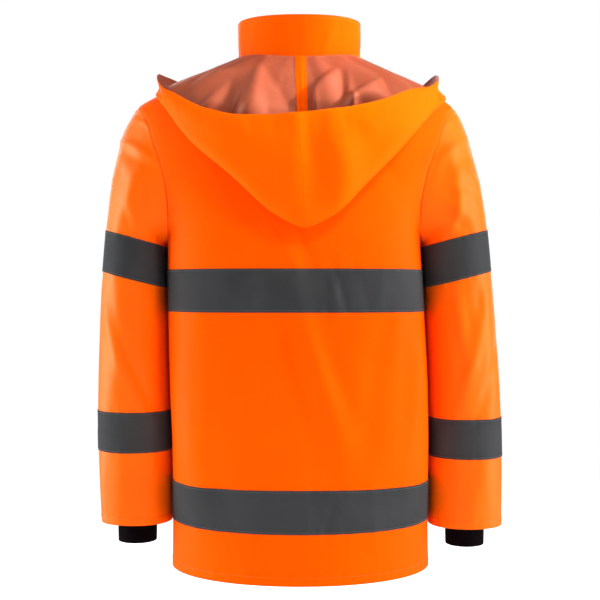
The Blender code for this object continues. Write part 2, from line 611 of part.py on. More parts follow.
def make_zip_head(collection, helpers, metal):
    """Slider with two lugs and a pin, and the pull that hangs on the pin by its eye."""
    (_, face, middle), lean = zip_place()
    slider_y = face - SEAM - SLIDER_DEPTH / 2
    cube, drum = bpy.ops.mesh.primitive_cube_add, bpy.ops.mesh.primitive_cylinder_add
    mount = bpy.data.objects.new("slider_place", None)
    mount.location = (0, slider_y, middle)
    mount.rotation_euler = (lean, 0, 0)
    helpers.objects.link(mount)
    slider = primitive(cube, collection, size=1,
                       size_xyz=(SLIDER_WIDTH, SLIDER_DEPTH, SLIDER_LENGTH))
    slider.name = slider.data.name = "zip_slider"
    edges = slider.modifiers.new("edges", "BEVEL")
    edges.width, edges.segments = SLIDER_ROUND, 2
    front = -SLIDER_DEPTH / 2
    pin = primitive(drum, helpers, vertices=16, radius=PIN_RADIUS,
                    depth=LUG_SPAN - LUG_WIDTH, location=(0, front - PIN_OUT, PIN_UP),
                    rotation=(0, math.pi / 2, 0))
    pin.name = "slider_pin"
    for side in (-1, 1):
        lug = primitive(cube, helpers, size=1, size_xyz=(LUG_WIDTH, LUG_DEPTH, LUG_LENGTH))
        lug.location = (side * (LUG_SPAN - LUG_WIDTH) / 2, front - LUG_DEPTH / 2 + LUG_SUNK, PIN_UP)
        lug.parent = mount
        combine(slider, lug, "UNION")
    pin.parent = mount
    slider.parent = mount
    combine(slider, pin, "UNION")
    slider.data.materials.append(metal)
    bpy.context.view_layer.update()
    axis = mount.matrix_world @ pin.location
    hinge = bpy.data.objects.new("pull_hinge", None)
    hinge.location = axis
    helpers.objects.link(hinge)
    eye = primitive(drum, collection, vertices=24, radius=EYE_OUTER, depth=EYE_WIDTH,
                    rotation=(0, math.pi / 2, 0))
    eye.name = eye.data.name = "zip_pull"
    tab = primitive(cube, helpers, size=1, size_xyz=(PULL_WIDTH, PULL_THICK, PULL_LENGTH))
    tab.location = (0, 0, -EYE_OUTER + JOIN - NECK_LENGTH - PULL_LENGTH / 2)
    corners = tab.modifiers.new("corners", "BEVEL")
    corners.width, corners.segments = PULL_ROUND, 2
    neck = primitive(cube, helpers, size=1,
                     size_xyz=(NECK_WIDTH, PULL_THICK, NECK_LENGTH + NECK_HIDDEN))
    neck.location = (0, 0, -EYE_OUTER + 2 * JOIN - (NECK_LENGTH + NECK_HIDDEN) / 2)
    hole = primitive(drum, helpers, vertices=24, radius=EYE_INNER, depth=EYE_WIDTH * 2,
                     rotation=(0, math.pi / 2, 0))
    for helper, operation in ((neck, "UNION"), (tab, "UNION"), (hole, "DIFFERENCE")):
        helper.parent = hinge
        combine(eye, helper, operation)
    eye.parent = hinge
    eye.data.materials.append(metal)


def main():
    for old in list(bpy.data.objects):
        bpy.data.objects.remove(old, do_unlink=True)
    jacket = bpy.data.collections.new("hi_vis_work_jacket")
    helpers = bpy.data.collections.new("helpers")
    for group in (jacket, helpers):
        bpy.context.scene.collection.children.link(group)
    shell = finish("orange_shell", ORANGE, 0.45)
    inside = finish("hood_inside", INSIDE, 0.5)
    grey = finish("reflective_tape", GREY, 0.5)
    knit = finish("black_knit", BLACK, 0.9)
    zip_cloth = finish("zip_tape", BLACK, 0.8)
    metal = finish("zip_metal", METAL, 0.35, 1.0)

    rows = body_rows()
    panels = {"back": back_grid(rows), "front_left": front_grid(rows, 1),
              "front_right": front_grid(rows, -1)}
    for name, panel in panels.items():
        flip = name != "front_left"
        node = "back_panel" if name == "back" else name
        sheet(node, panel, shell, jacket, CLOTH, flip=flip)
        for level, top in BODY_BANDS.items():
            band = band_grid(panel, rows, (top, top - BAND / 2, top - BAND), flip=flip)
            sheet(f"tape_{level}_{name}", band, grey, jacket, TAPE, flip=flip)

    for side, name in ((1, "left"), (-1, "right")):
        outer = np.array(SLEEVE_ROWS)
        rings = sleeve_grid(side, outer)
        tube = {"closed": True, "flip": side > 0}
        sheet(f"sleeve_{name}", rings, shell, jacket, CLOTH, **tube)
        for level, (top, bottom) in SLEEVE_BANDS.items():
            band = band_grid(rings, outer, (top, (top + bottom) / 2, bottom), **tube)
            sheet(f"tape_sleeve_{name}_{level}", band, grey, jacket, TAPE, **tube)
        sheet(f"cuff_{name}", cuff_grid(side), knit, jacket, KNIT, **tube)

    sheet("collar", collar_grid(), shell, jacket, COLLAR_CLOTH)
    t = np.linspace(0, 1, HOOD_ROWS + 1)
    hoods = {}
    for side, name in ((1, "left"), (-1, "right")):
        stations = HOOD_CENTRE - side * np.linspace(0, HOOD_CENTRE, HOOD_COLUMNS + 1)
        hoods[name] = hood_grid(stations, t)
        hoods[name][:, 0, 0] += side * HOOD_HALF_SEAM
        sheet(f"hood_{name}", hoods[name], shell, jacket, HOOD_CLOTH, flip=side > 0)
    seam = seam_tape_grid(hoods["left"], hoods["right"])
    sheet("hood_seam_tape", seam, inside, jacket, SEAM_TAPE)

    for side, name in ((1, "left"), (-1, "right")):
        sheet(f"zip_tape_{name}", zip_tape_grid(side), zip_cloth, jacket, ZIP_TAPE, flip=side < 0)
    make_zip_head(jacket, helpers, metal)


main()
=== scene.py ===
"""Hi-vis work jacket: fine cloth, sewing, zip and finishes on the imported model.

Metres, +Z up, the front faces -Y and the wearer's left is +X. A piece of cloth is a function of
two parameters, across and down, worked out on a numpy grid and kept as a Patch. What is sewn on
it, such as a band of tape or a row of stitches, is made from the patch's own points, raised
along its normals.
"""
import logging
import math
from dataclasses import dataclass, field
from enum import Enum
from typing import ClassVar, Iterable, Optional, Sequence

import bpy
import numpy as np
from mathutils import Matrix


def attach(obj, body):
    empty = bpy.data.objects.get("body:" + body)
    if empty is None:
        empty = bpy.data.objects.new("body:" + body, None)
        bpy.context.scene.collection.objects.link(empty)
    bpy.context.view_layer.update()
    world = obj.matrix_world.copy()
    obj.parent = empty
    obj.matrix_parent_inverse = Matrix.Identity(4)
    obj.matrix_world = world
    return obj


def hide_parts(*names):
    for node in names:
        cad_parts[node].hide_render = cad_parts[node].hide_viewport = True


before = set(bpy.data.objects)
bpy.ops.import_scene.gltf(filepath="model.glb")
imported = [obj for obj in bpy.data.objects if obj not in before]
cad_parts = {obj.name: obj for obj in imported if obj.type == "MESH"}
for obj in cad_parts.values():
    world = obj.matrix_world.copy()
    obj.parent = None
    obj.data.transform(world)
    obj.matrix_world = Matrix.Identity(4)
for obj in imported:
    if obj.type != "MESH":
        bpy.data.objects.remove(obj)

logging.basicConfig(level=logging.INFO, format="%(message)s")
log = logging.getLogger("jacket")

Array = np.ndarray
Columns = dict[str, Array]
JACKET = "jacket"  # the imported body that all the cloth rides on
SAME_ROW = 1e-6  # heights closer than this are one row
TINY = 1e-9  # keeps a division from meeting zero


class Side(Enum):
    """The wearer's left or right; the value is the sign of X there."""

    LEFT = 1
    RIGHT = -1

    @property
    def word(self) -> str:
        """The side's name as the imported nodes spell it."""
        return self.name.lower()


# -------------------- curves and folds
def table(columns: str, *rows: Sequence[float]) -> Columns:
    """A short table as one array for each named column."""
    return dict(zip(columns.split(), np.array(rows, dtype=float).T))


def smooth(x: Array, xs: Array, ys: Array) -> Array:
    """Value at x of a monotone cubic through the points (xs, ys).

    Each inner slope is the harmonic mean of its neighbours' slopes, or 0 where they turn.

    Args:
        x: where the value is wanted.
        xs: the points' places.
        ys: their values.

    Returns:
        The values at x.
    """
    order = np.argsort(xs)
    xs, ys = xs[order], ys[order]
    x = np.clip(np.asarray(x, dtype=float), xs[0], xs[-1])
    step = np.diff(xs)
    rise = np.diff(ys) / step
    slope = np.zeros_like(ys)
    slope[0], slope[-1] = rise[0], rise[-1]
    same_way = rise[:-1] * rise[1:] > 0
    both = np.where(same_way, rise[:-1] + rise[1:], 1.0)
    slope[1:-1] = np.where(same_way, 2 * rise[:-1] * rise[1:] / both, 0.0)
    i = np.clip(np.searchsorted(xs, x, side="right") - 1, 0, len(step) - 1)
    t = (x - xs[i]) / step[i]
    return (ys[i] * (1 + 2 * t) * (1 - t) ** 2 + ys[i + 1] * t * t * (3 - 2 * t)
            + step[i] * t * (1 - t) * (slope[i] * (1 - t) - slope[i + 1] * t))


def ease(t: Array) -> Array:
    """3t^2 - 2t^3: from 0 to 1 with level ends."""
    t = np.clip(t, 0.0, 1.0)
    return t * t * (3 - 2 * t)


def bell(distance: Array, width: "Array | float") -> Array:
    """exp(-(d/w)^2): 1 at no distance, fading over the width."""
    return np.exp(-(distance / width) ** 2)


def run_length(points: Array, axis: int) -> Array:
    """Distance run along one axis of a grid of points, 0 at its first point."""
    steps = np.linalg.norm(np.diff(points, axis=axis), axis=-1).cumsum(axis=axis)
    return np.concatenate([0 * np.take(steps, [0], axis=axis), steps], axis=axis)


def evened(values: Array, axis: int) -> Array:
    """Each value averaged with its two neighbours along an axis: (a + 2b + c) / 4.

    Args:
        values: an array.
        axis: the axis that it is evened along.

    Returns:
        An array of the same shape.
    """
    values = np.moveaxis(values, axis, 0)
    padded = np.concatenate([values[:1], values, values[-1:]])
    return np.moveaxis((padded[:-2] + 2 * padded[1:-1] + padded[2:]) / 4, 0, axis)


def row_at(rows: Array, height: float) -> float:
    """Fractional row that lies at a height, in rows of falling heights."""
    return float(np.interp(-height, -rows, np.arange(len(rows))))


def rows_between(rows: Array, top: float, bottom: float) -> slice:
    """The rows from one height down to another, both of them included."""
    inside = np.flatnonzero((rows <= top + SAME_ROW) & (rows >= bottom - SAME_ROW))
    return slice(int(inside[0]), int(inside[-1]) + 1)


def merged_rows(even: Array, stitch: float, bands: Iterable[tuple[float, float]]) -> Array:
    """Heights of a fine grid's rows: even ones, and closer ones at a hem and at tapes' edges.

    Args:
        even: evenly spaced heights.
        stitch: height of the hem's stitching.
        bands: top and bottom of each band of tape.

    Returns:
        The heights, falling.
    """
    marks = [stitch + d for d in (-0.003, -0.0012, 0, 0.0012, 0.003)]
    for band in bands:
        for edge in band:
            marks += [edge + 0.002, edge, edge - 0.002]
    loose = [h for h in even if min(abs(h - m) for m in marks) > 0.0012]
    return np.array(sorted({*np.round(loose, 7), *np.round(marks, 7)}, reverse=True))


def turned_hem(off: Array) -> Array:
    """Relief of a turned-up hem at a height off its stitching: thicker below, drawn in at it."""
    return 0.0006 * ease(0.5 - off / 0.002) - 0.0005 * bell(off, 0.0016)


def soft_folds(across: Array, down: Array, rows: Iterable[Sequence[float]]) -> Array:
    """Height of the large folds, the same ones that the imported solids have.

    Each is rise * sin(pi s) * exp(-((across - at - slant s) / width)^2), where s runs from 0 to
    1 between its start and its end.

    Args:
        across: place across the piece, in the piece's own unit.
        down: place down the piece, in the piece's own unit.
        rows: at, slant, start, end, width and rise of each fold.

    Returns:
        The height, in metres.
    """
    height = 0.0 * (across + down)
    for at, slant, start, end, width, rise in rows:
        share = (down - start) / (end - start)
        window = np.where((share > 0) & (share < 1), np.sin(math.pi * np.clip(share, 0, 1)), 0)
        height = height + rise * window * bell(across - at - slant * share, width)
    return height


@dataclass(frozen=True)
class Creases:
    """Small creases laid on one piece, each between two places on it.

    Attributes:
        scale: metres for one unit across and one unit down.
        rows: across and down where a crease starts, across and down where it ends, half its
            width in metres, and its rise in metres (negative is a trough).
    """

    scale: tuple[float, float]
    rows: tuple[tuple[float, ...], ...]

    def height(self, across: Array, down: Array) -> Array:
        """Sum of rise * sin(pi s)^0.8 * exp(-(d/w)^2); s is along a crease, d is off its line.

        Args:
            across: place across the piece, in its own unit.
            down: place down the piece.

        Returns:
            The height, in metres.
        """
        total = 0.0 * (across + down)
        for u0, v0, u1, v1, width, rise in self.rows:
            along = np.array([(u1 - u0) * self.scale[0], (v1 - v0) * self.scale[1]])
            long = float(np.hypot(*along))
            du, dv = (across - u0) * self.scale[0], (down - v0) * self.scale[1]
            share = (du * along[0] + dv * along[1]) / long ** 2
            off = (du * along[1] - dv * along[0]) / long
            window = np.sin(math.pi * np.clip(share, 0, 1)) ** 0.8
            total = total + rise * window * bell(off, width)
        return total


@dataclass(frozen=True)
class Tents:
    """Sharp folds that fan out from a gathered seam: each a ridge with two nearly flat faces.

    Attributes:
        rows: across and down of the point where it springs up, across and down of its foot, the
            widths of its faces before and after the ridge at the foot, and its rise there.
    """

    rows: tuple[tuple[float, ...], ...]
    hollow: ClassVar[float] = 1.15  # 1 is a flat face, more is a hollow one

    def height(self, across: Array, down: Array) -> Array:
        """Sum of rise * s * (1 - |d| / (w s))^hollow; s runs from 0 at the point to 1 at the foot.

        Past the foot a fold fades out over its own length again.

        Args:
            across: place across the piece, in its own unit.
            down: place down the piece.

        Returns:
            The height, in metres.
        """
        total = 0.0 * (across + down)
        for u0, v0, u1, v1, before, after, rise in self.rows:
            share = (down - v0) / (v1 - v0)
            grown = np.clip(share, SAME_ROW, 1.0)
            off = across - (u0 + (u1 - u0) * share)
            wide = np.where(off < 0, before, after) * grown
            face = np.clip(1 - np.abs(off) / wide, 0, 1) ** self.hollow
            total = total + rise * grown * face * (share > 0) * ease(2 - share)
        return total


@dataclass(frozen=True)
class Gathers:
    """Uneven gathers on both sides of a row of stitches.

    Attributes:
        pitch: from one gather to the next, along the stitches.
        depth: their height.
        reach: how far they spread off the stitches.
    """

    pitch: float
    depth: float
    reach: float

    def height(self, along: Array, off: Array) -> Array:
        """depth * exp(-(off/reach)^2) * (sin a + sin 0.618a + sin 1.47a) / 3, a = 2 pi along/pitch.

        Args:
            along: distance along the stitches.
            off: distance off them.

        Returns:
            The height, in metres.
        """
        turn = 2 * math.pi * along / self.pitch
        waves = np.sin(turn) + np.sin(0.618 * turn + 1.3) + np.sin(1.47 * turn + 0.4)
        return self.depth * bell(off, self.reach) * waves / 3


# -------------------- grids and meshes
def grid_normals(points: Array, closed: bool) -> Array:
    """Unit normals of a grid (rows, columns, xyz): across its rows times down its columns.

    Args:
        points: the grid.
        closed: whether the last column joins the first.

    Returns:
        A grid of unit vectors.
    """
    wide = np.concatenate([points[:, -1:], points, points[:, :1]], axis=1) if closed else points
    across, down = np.gradient(wide, axis=1), np.gradient(wide, axis=0)
    normal = np.cross(across, down)
    normal = normal[:, 1:-1] if closed else normal
    return normal / np.maximum(np.linalg.norm(normal, axis=2, keepdims=True), 1e-12)


@dataclass
class Patch:
    """One piece of cloth as a grid of points on its outer face.

    Attributes:
        points: the grid (rows, columns, xyz), rows going down the piece.
        out: 1 where across times down points out of the cloth, or -1.
        closed: whether the last column joins the first, as on a tube.
    """

    points: Array
    out: float = 1.0
    closed: bool = False
    normals: Array = field(init=False)

    def __post_init__(self) -> None:
        """Works out the normals."""
        self.normals = grid_normals(self.points, self.closed) * self.out

    def raised(self, lift: "Array | float", rows: slice = slice(None)) -> "Patch":
        """Rows of the patch moved out along its normals."""
        points = self.points[rows] + self.normals[rows] * lift
        return Patch(points, self.out, self.closed)

    def joined(self) -> Array:
        """The points, with the first column again after the last on a closed patch."""
        return np.concatenate([self.points, self.points[:, :1]], axis=1) if self.closed else self.points

    def at(self, row: Array, column: Array) -> tuple[Array, Array]:
        """Points and normals at fractional rows and columns, bilinear between the grid's.

        Args:
            row: fractional rows.
            column: fractional columns.

        Returns:
            The points and their unit normals.
        """
        high, wide = self.points.shape[:2]
        row = np.clip(row, 0, high - 1 - SAME_ROW)
        column = column % wide if self.closed else np.clip(column, 0, wide - 1 - SAME_ROW)
        r, c = np.floor(row).astype(int), np.floor(column).astype(int)
        fr, fc = (row - r)[..., None], (column - c)[..., None]
        after = (c + 1) % wide
        found = [(1 - fr) * ((1 - fc) * g[r, c] + fc * g[r, after])
                 + fr * ((1 - fc) * g[r + 1, c] + fc * g[r + 1, after])
                 for g in (self.points, self.normals)]
        return found[0], found[1] / np.linalg.norm(found[1], axis=-1, keepdims=True)

    def lengths(self) -> tuple[Array, Array]:
        """How far each point is along its row and down its column, in metres.

        Returns:
            Lengths along from the middle column, and down from the first row.
        """
        points = self.joined()
        across = run_length(points, 1)
        middle = across[:, [across.shape[1] // 2]]
        return across - middle, run_length(points, 0)

    def inset(self, distance: float, edge: int = 0, within: int = 12) -> Array:
        """Fractional column of each row that lies a distance in from the first or last one.

        Args:
            distance: in metres.
            edge: 0 for the first column, -1 for the last.
            within: how many columns from the edge are searched.

        Returns:
            The column for each row.
        """
        near = (self.points if edge == 0 else self.points[:, ::-1])[:, :within]
        far = run_length(near, 1)
        after = np.clip((far < distance).sum(axis=1), 1, near.shape[1] - 1)
        each = np.arange(len(near))
        before = far[each, after - 1]
        column = after - 1 + np.clip((distance - before) / (far[each, after] - before), 0, 1)
        return column if edge == 0 else self.points.shape[1] - 1 - column

    def mesh(self, name: str) -> bpy.types.Mesh:
        """The patch as quads with their faces out and a UV map in metres of cloth.

        Args:
            name: the mesh's name.

        Returns:
            The mesh.
        """
        rows, columns = self.points.shape[:2]
        wide = columns if self.closed else columns - 1
        r, c = (g.ravel() for g in np.meshgrid(np.arange(rows - 1), np.arange(wide), indexing="ij"))
        corner_row = np.stack([r, r, r + 1, r + 1], axis=1)
        corner_column = np.stack([c, c + 1, c + 1, c], axis=1)
        if self.out < 0:
            corner_row, corner_column = corner_row[:, ::-1], corner_column[:, ::-1]
        made = bpy.data.meshes.new(name)
        faces = corner_row * columns + corner_column % columns
        made.from_pydata(self.points.reshape(-1, 3).tolist(), [], faces.tolist())
        across, down = self.lengths()
        uv = np.stack([across[corner_row, corner_column], down[corner_row, corner_column]], axis=2)
        made.uv_layers.new(name="cloth").data.foreach_set("uv", uv.astype(np.float32).ravel())
        made.update()
        made.shade_smooth()
        return made


@dataclass(frozen=True)
class Sewn:
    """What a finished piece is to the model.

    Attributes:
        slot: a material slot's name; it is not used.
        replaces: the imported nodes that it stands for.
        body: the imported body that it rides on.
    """

    slot: str
    replaces: tuple[str, ...] = ()
    body: str = JACKET


def add_piece(name: str, mesh: bpy.types.Mesh, finishes: Sequence[bpy.types.Material],
              role: Sewn) -> bpy.types.Object:
    """Puts a mesh in the scene, riding on its body and standing for its nodes.

    Args:
        name: the piece's name.
        mesh: its mesh.
        finishes: its materials.
        role: what it is to the model.

    Returns:
        The new object.
    """
    piece = bpy.data.objects.new(name, mesh)
    for finish in finishes:
        mesh.materials.append(finish)
    bpy.context.scene.collection.objects.link(piece)
    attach(piece, role.body)
    if role.replaces:
        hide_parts(*role.replaces)
    return piece


def add_cloth(name: str, patch: Patch, wall: float, finishes: Sequence[bpy.types.Material],
              role: Sewn) -> bpy.types.Object:
    """A wall of cloth with rounded edges.

    Args:
        name: the piece's name.
        patch: its outer face.
        wall: its thickness, taken inwards.
        finishes: the outer face's finish and, where there are two, the inner face's.
        role: what it is to the model.

    Returns:
        The new object.
    """
    piece = add_piece(name, patch.mesh(name), finishes, role)
    thick = piece.modifiers.new("wall", "SOLIDIFY")
    thick.thickness = wall
    thick.offset = -1.0
    thick.material_offset = len(finishes) - 1
    edge = piece.modifiers.new("edges", "BEVEL")
    edge.limit_method, edge.angle_limit = "ANGLE", math.radians(60)
    edge.width, edge.segments = wall * 0.35, 2
    across, down = patch.lengths()
    return piece


# -------------------- the body's form
@dataclass
class Torso:
    """The body's form, which the back and the fronts are cut from.

    Across is degrees round the body from the wearer's left, 90 at the centre back. Down is the
    height of the section at the side or on the shoulder ridge.
    """

    hem: float = -0.857
    tip: float = -0.075  # shoulder seam's outer end
    underarm: float = -0.295
    armhole_depth: float = 0.108
    edge: float = 0.0001  # a panel stops this far from the line of its seam
    armhole_curve: float = 0.28  # 0.5 is an ellipse, less is fuller
    zip_half: float = 0.0052
    bands: tuple[float, float] = (-0.351, -0.705)
    band: float = 0.07
    band_shift: float = 0.31  # the lower band's gathers start elsewhere, and the hem's
    hem_shift: float = 0.17
    hem_turned: float = 0.0135  # hem stitching above the edge
    ridge: float = 0.0018  # the seam allowance pressed along the armhole
    ridge_in: float = 0.0028  # its top, in from the seam
    ridge_sides: tuple[float, float] = (0.0022, 0.013)
    groove: float = 0.0008  # the side seam's groove
    groove_half: float = 0.0016
    yoke_rows: int = 18
    armhole_rows: int = 46
    lower_rows: int = 112
    tape_gathers: Gathers = Gathers(0.034, 0.0008, 0.013)
    hem_gathers: Gathers = Gathers(0.021, 0.0009, 0.01)
    sizes: Columns = field(default_factory=lambda: table(
        "height left right back front back_drop front_drop round",
        (0.012, 0.107, 0.103, 0.076, 0.095, -0.012, -0.082, 2.05),
        (-0.006, 0.143, 0.135, 0.096, 0.104, -0.016, -0.074, 2.15),
        (-0.03, 0.203, 0.188, 0.115, 0.115, -0.016, -0.064, 2.25),
        (-0.054, 0.25, 0.236, 0.126, 0.124, -0.014, -0.055, 2.3),
        (-0.075, 0.282, 0.264, 0.132, 0.13, -0.011, -0.048, 2.4),
        (-0.1, 0.288, 0.27, 0.138, 0.137, -0.008, -0.04, 2.65),
        (-0.15, 0.278, 0.259, 0.146, 0.144, -0.004, -0.026, 3.0),
        (-0.21, 0.256, 0.234, 0.151, 0.149, -0.001, -0.012, 3.0),
        (-0.265, 0.234, 0.211, 0.154, 0.152, 0.0, -0.004, 3.0),
        (-0.295, 0.227, 0.205, 0.155, 0.153, 0.0, 0.0, 3.0),
        (-0.36, 0.227, 0.208, 0.155, 0.154, 0.0, 0.0, 3.0),
        (-0.45, 0.226, 0.213, 0.154, 0.154, 0.0, 0.0, 3.0),
        (-0.55, 0.224, 0.218, 0.153, 0.153, 0.0, 0.0, 2.9),
        (-0.65, 0.22, 0.2195, 0.153, 0.153, 0.0, 0.0, 2.8),
        (-0.705, 0.2195, 0.2195, 0.1535, 0.1535, 0.0, 0.0, 2.6),
        (-0.77, 0.2205, 0.22, 0.154, 0.154, 0.0, 0.0, 2.15),
        (-0.857, 0.2215, 0.221, 0.156, 0.155, 0.0, 0.0, 2.05)))
    folds: tuple[tuple[float, ...], ...] = (
        (76, 44, -0.27, -0.72, 7.0, 0.0055),
        (62, 42, -0.3, -0.7, 6.0, -0.0035),
        (38, -4.0, -0.36, -0.82, 7.0, 0.005),
        (24, 1.0, -0.33, -0.6, 5.0, -0.003),
        (148, 5, -0.38, -0.8, 8.0, 0.005),
        (132, -6, -0.42, -0.7, 6.0, -0.0035),
        (-38, -8, -0.2, -0.78, 7.0, 0.005),
        (-58, 10, -0.28, -0.76, 6.0, -0.0035),
        (-20, 2, -0.34, -0.66, 6.0, 0.003),
        (220, 6, -0.22, -0.82, 7.0, 0.005),
        (238, -9, -0.2, -0.62, 6.0, -0.0035),
        (204, 2, -0.4, -0.8, 6.0, 0.003))
    creases: Creases = Creases((0.0029, 1.0), (
        (86, -0.42, 119, -0.65, 0.017, 0.0032), (99, -0.42, 127, -0.64, 0.014, -0.002),
        (70, -0.27, 92, -0.362, 0.009, 0.0026), (82, -0.26, 98, -0.345, 0.007, -0.0014),
        (109, -0.34, 118, -0.436, 0.005, -0.0022), (104, -0.335, 113, -0.432, 0.006, 0.002),
        (77, -0.345, 88, -0.43, 0.007, -0.0016), (66, -0.34, 59, -0.43, 0.009, 0.0016),
        (152, -0.44, 155, -0.62, 0.012, 0.0042), (145, -0.46, 143, -0.66, 0.01, -0.0022),
        (28, -0.42, 24, -0.69, 0.011, 0.0036), (37, -0.45, 36, -0.64, 0.01, -0.0016),
        (113, -0.32, 108, -0.44, 0.007, 0.0012), (70, -0.345, 62, -0.43, 0.006, 0.001),
        (60, -0.338, 53, -0.432, 0.005, -0.0009), (50, -0.34, 57, -0.425, 0.006, 0.0008),
        (122, -0.345, 127, -0.43, 0.005, -0.001), (135, -0.335, 130, -0.425, 0.007, 0.001),
        (80, -0.47, 101, -0.56, 0.01, 0.0012), (56, -0.54, 75, -0.68, 0.012, 0.001),
        (142, -0.4, 137, -0.52, 0.01, 0.0016), (156, -0.52, 150, -0.69, 0.009, -0.0014),
        (34, -0.56, 30, -0.7, 0.008, 0.0012), (45, -0.65, 52, -0.77, 0.009, -0.0012),
        (64, -0.69, 72, -0.79, 0.007, 0.001), (92, -0.69, 96, -0.8, 0.008, 0.0012),
        (110, -0.7, 103, -0.81, 0.007, -0.0009), (128, -0.69, 134, -0.83, 0.009, 0.0012),
        (118, -0.79, 132, -0.815, 0.006, -0.001), (60, -0.8, 74, -0.825, 0.006, 0.0008),
        (118, -0.15, 138, -0.25, 0.01, 0.0014), (126, -0.15, 143, -0.22, 0.007, -0.0012),
        (40, -0.17, 55, -0.26, 0.009, 0.001), (148, -0.27, 120, -0.32, 0.008, 0.0012),
        (-40, -0.13, -62, -0.26, 0.01, 0.0014), (-52, -0.12, -70, -0.23, 0.008, -0.0011),
        (-30, -0.32, -48, -0.44, 0.008, 0.0012), (-72, -0.34, -62, -0.48, 0.007, -0.001),
        (-44, -0.48, -66, -0.6, 0.01, 0.0015), (-28, -0.52, -36, -0.69, 0.008, -0.0012),
        (-70, -0.64, -58, -0.77, 0.008, 0.0012), (-48, -0.74, -40, -0.84, 0.007, 0.001),
        (226, -0.12, 246, -0.25, 0.01, 0.0013), (214, -0.3, 232, -0.43, 0.009, 0.0012),
        (250, -0.33, 243, -0.47, 0.007, -0.0011), (212, -0.47, 238, -0.59, 0.011, 0.0014),
        (248, -0.6, 236, -0.72, 0.008, 0.0012), (222, -0.65, 214, -0.76, 0.008, -0.0012),
        (240, -0.75, 226, -0.83, 0.007, 0.001), (206, -0.7, 210, -0.82, 0.008, 0.0012)))

    def size(self, column: str, height: Array) -> Array:
        """One of the body's sizes at a height."""
        return smooth(height, self.sizes["height"], self.sizes[column])

    def radius(self, angle: Array, height: Array) -> Array:
        """Superellipse (|cos a|/w)^n + (|sin a|/d)^n = r^-n, with its own halves each way.

        Args:
            angle: in radians round the body.
            height: height of the section.

        Returns:
            The radius, in metres.
        """
        across, deep = np.cos(angle), np.sin(angle)
        width = np.where(across >= 0, self.size("left", height), self.size("right", height))
        depth = np.where(deep >= 0, self.size("back", height), self.size("front", height))
        power = self.size("round", height)
        return ((np.abs(across) / width) ** power + (np.abs(deep) / depth) ** power) ** (-1 / power)

    def drop(self, angle: Array, height: Array) -> Array:
        """How much lower the section runs at an angle: its drop times sin^2.

        Args:
            angle: in radians round the body.
            height: height of the section.

        Returns:
            The drop, in metres.
        """
        deep = np.sin(angle)
        most = np.where(deep >= 0, self.size("back_drop", height), self.size("front_drop", height))
        return most * deep ** 2

    def point(self, angle: Array, height: Array) -> Array:
        """Point of the body at an angle in radians, large folds included."""
        radius = self.radius(angle, height) + soft_folds(np.degrees(angle), height, self.folds)
        return np.stack([radius * np.cos(angle), radius * np.sin(angle),
                         height + self.drop(angle, height)], axis=-1)

    def edge_angle(self, height: Array, side: Side, face: int) -> Array:
        """Angle of the armhole seam from the side, on the back (face 1) or the front (-1).

        The seam is armhole_depth * (1 - level^2)^armhole_curve from the side's middle plane.

        Args:
            height: height of the section.
            side: the wearer's left or right.
            face: 1 for the back, -1 for the front.

        Returns:
            The angle, in radians.
        """
        width = self.size(side.word, height)
        depth = self.size("back" if face > 0 else "front", height)
        power = self.size("round", height)
        level = np.clip(2 * (self.tip - height) / (self.tip - self.underarm) - 1, -1, 1)
        edge = self.armhole_depth * (1 - level ** 2) ** self.armhole_curve
        across = width * np.maximum(1 - (edge / depth) ** power, 0) ** (1 / power)
        return np.arctan2(edge + self.edge, across)

    def rows(self) -> Array:
        """Heights of the fine grid's rows: closer where the armhole's seam turns and at edges.

        Returns:
            The heights, falling.
        """
        yoke = np.linspace(self.sizes["height"][0], self.tip, self.yoke_rows)
        armhole = self.armhole_height(np.linspace(0, math.pi, self.armhole_rows))
        below = np.linspace(self.underarm, self.hem, self.lower_rows)
        bands = [(top, top - self.band) for top in self.bands]
        return merged_rows(np.concatenate([yoke, armhole, below]), self.hem + self.hem_turned, bands)

    def armhole_height(self, turn: Array) -> Array:
        """Height on the armhole, falling by (1 - cos a) / 2 from the shoulder to the underarm."""
        return self.tip + (self.underarm - self.tip) * (1 - np.cos(turn)) / 2

    def relief(self, angle: Array, height: Array) -> Array:
        """Creases, puckers at the sewn lines, the doubled hem, and the seams' ridges.

        Args:
            angle: in radians round the body.
            height: height of the section.

        Returns:
            How far the cloth stands out, in metres.
        """
        degrees = np.degrees(angle)
        along = self.radius(angle, height) * angle
        rise = self.creases.height(degrees, height)
        for i, top in enumerate(self.bands):
            for line in (top, top - self.band):
                rise = rise + self.tape_gathers.height(along + self.band_shift * i, height - line)
        off = height - self.hem - self.hem_turned
        rise = rise + self.hem_gathers.height(along + self.hem_shift, off) + turned_hem(off)
        return rise + self.seam_ridge(angle, height)

    def seam_ridge(self, angle: Array, height: Array) -> Array:
        """A pressed seam allowance along the armholes and a groove at the side seams.

        Args:
            angle: in radians round the body.
            height: height of the section.

        Returns:
            How far the cloth stands out, in metres.
        """
        rise = 0.0 * (angle + height)
        open_part = ease((height - self.underarm) / 0.01) * ease((self.tip - height) / 0.004)
        for side, from_side in ((Side.LEFT, np.abs((angle + math.pi) % (2 * math.pi) - math.pi)),
                                (Side.RIGHT, np.abs(angle - math.pi))):
            back, front = self.edge_angle(height, side, 1), self.edge_angle(height, side, -1)
            edge = np.where(np.sin(angle) >= 0, back, front)
            off = (from_side - edge) * self.radius(angle, height)
            ridge = self.ridge * bell(off - self.ridge_in, np.where(off < self.ridge_in, *self.ridge_sides))
            groove = self.groove * bell(off, self.groove_half)
            rise = rise + open_part * ridge - (1 - open_part) * groove
        return rise


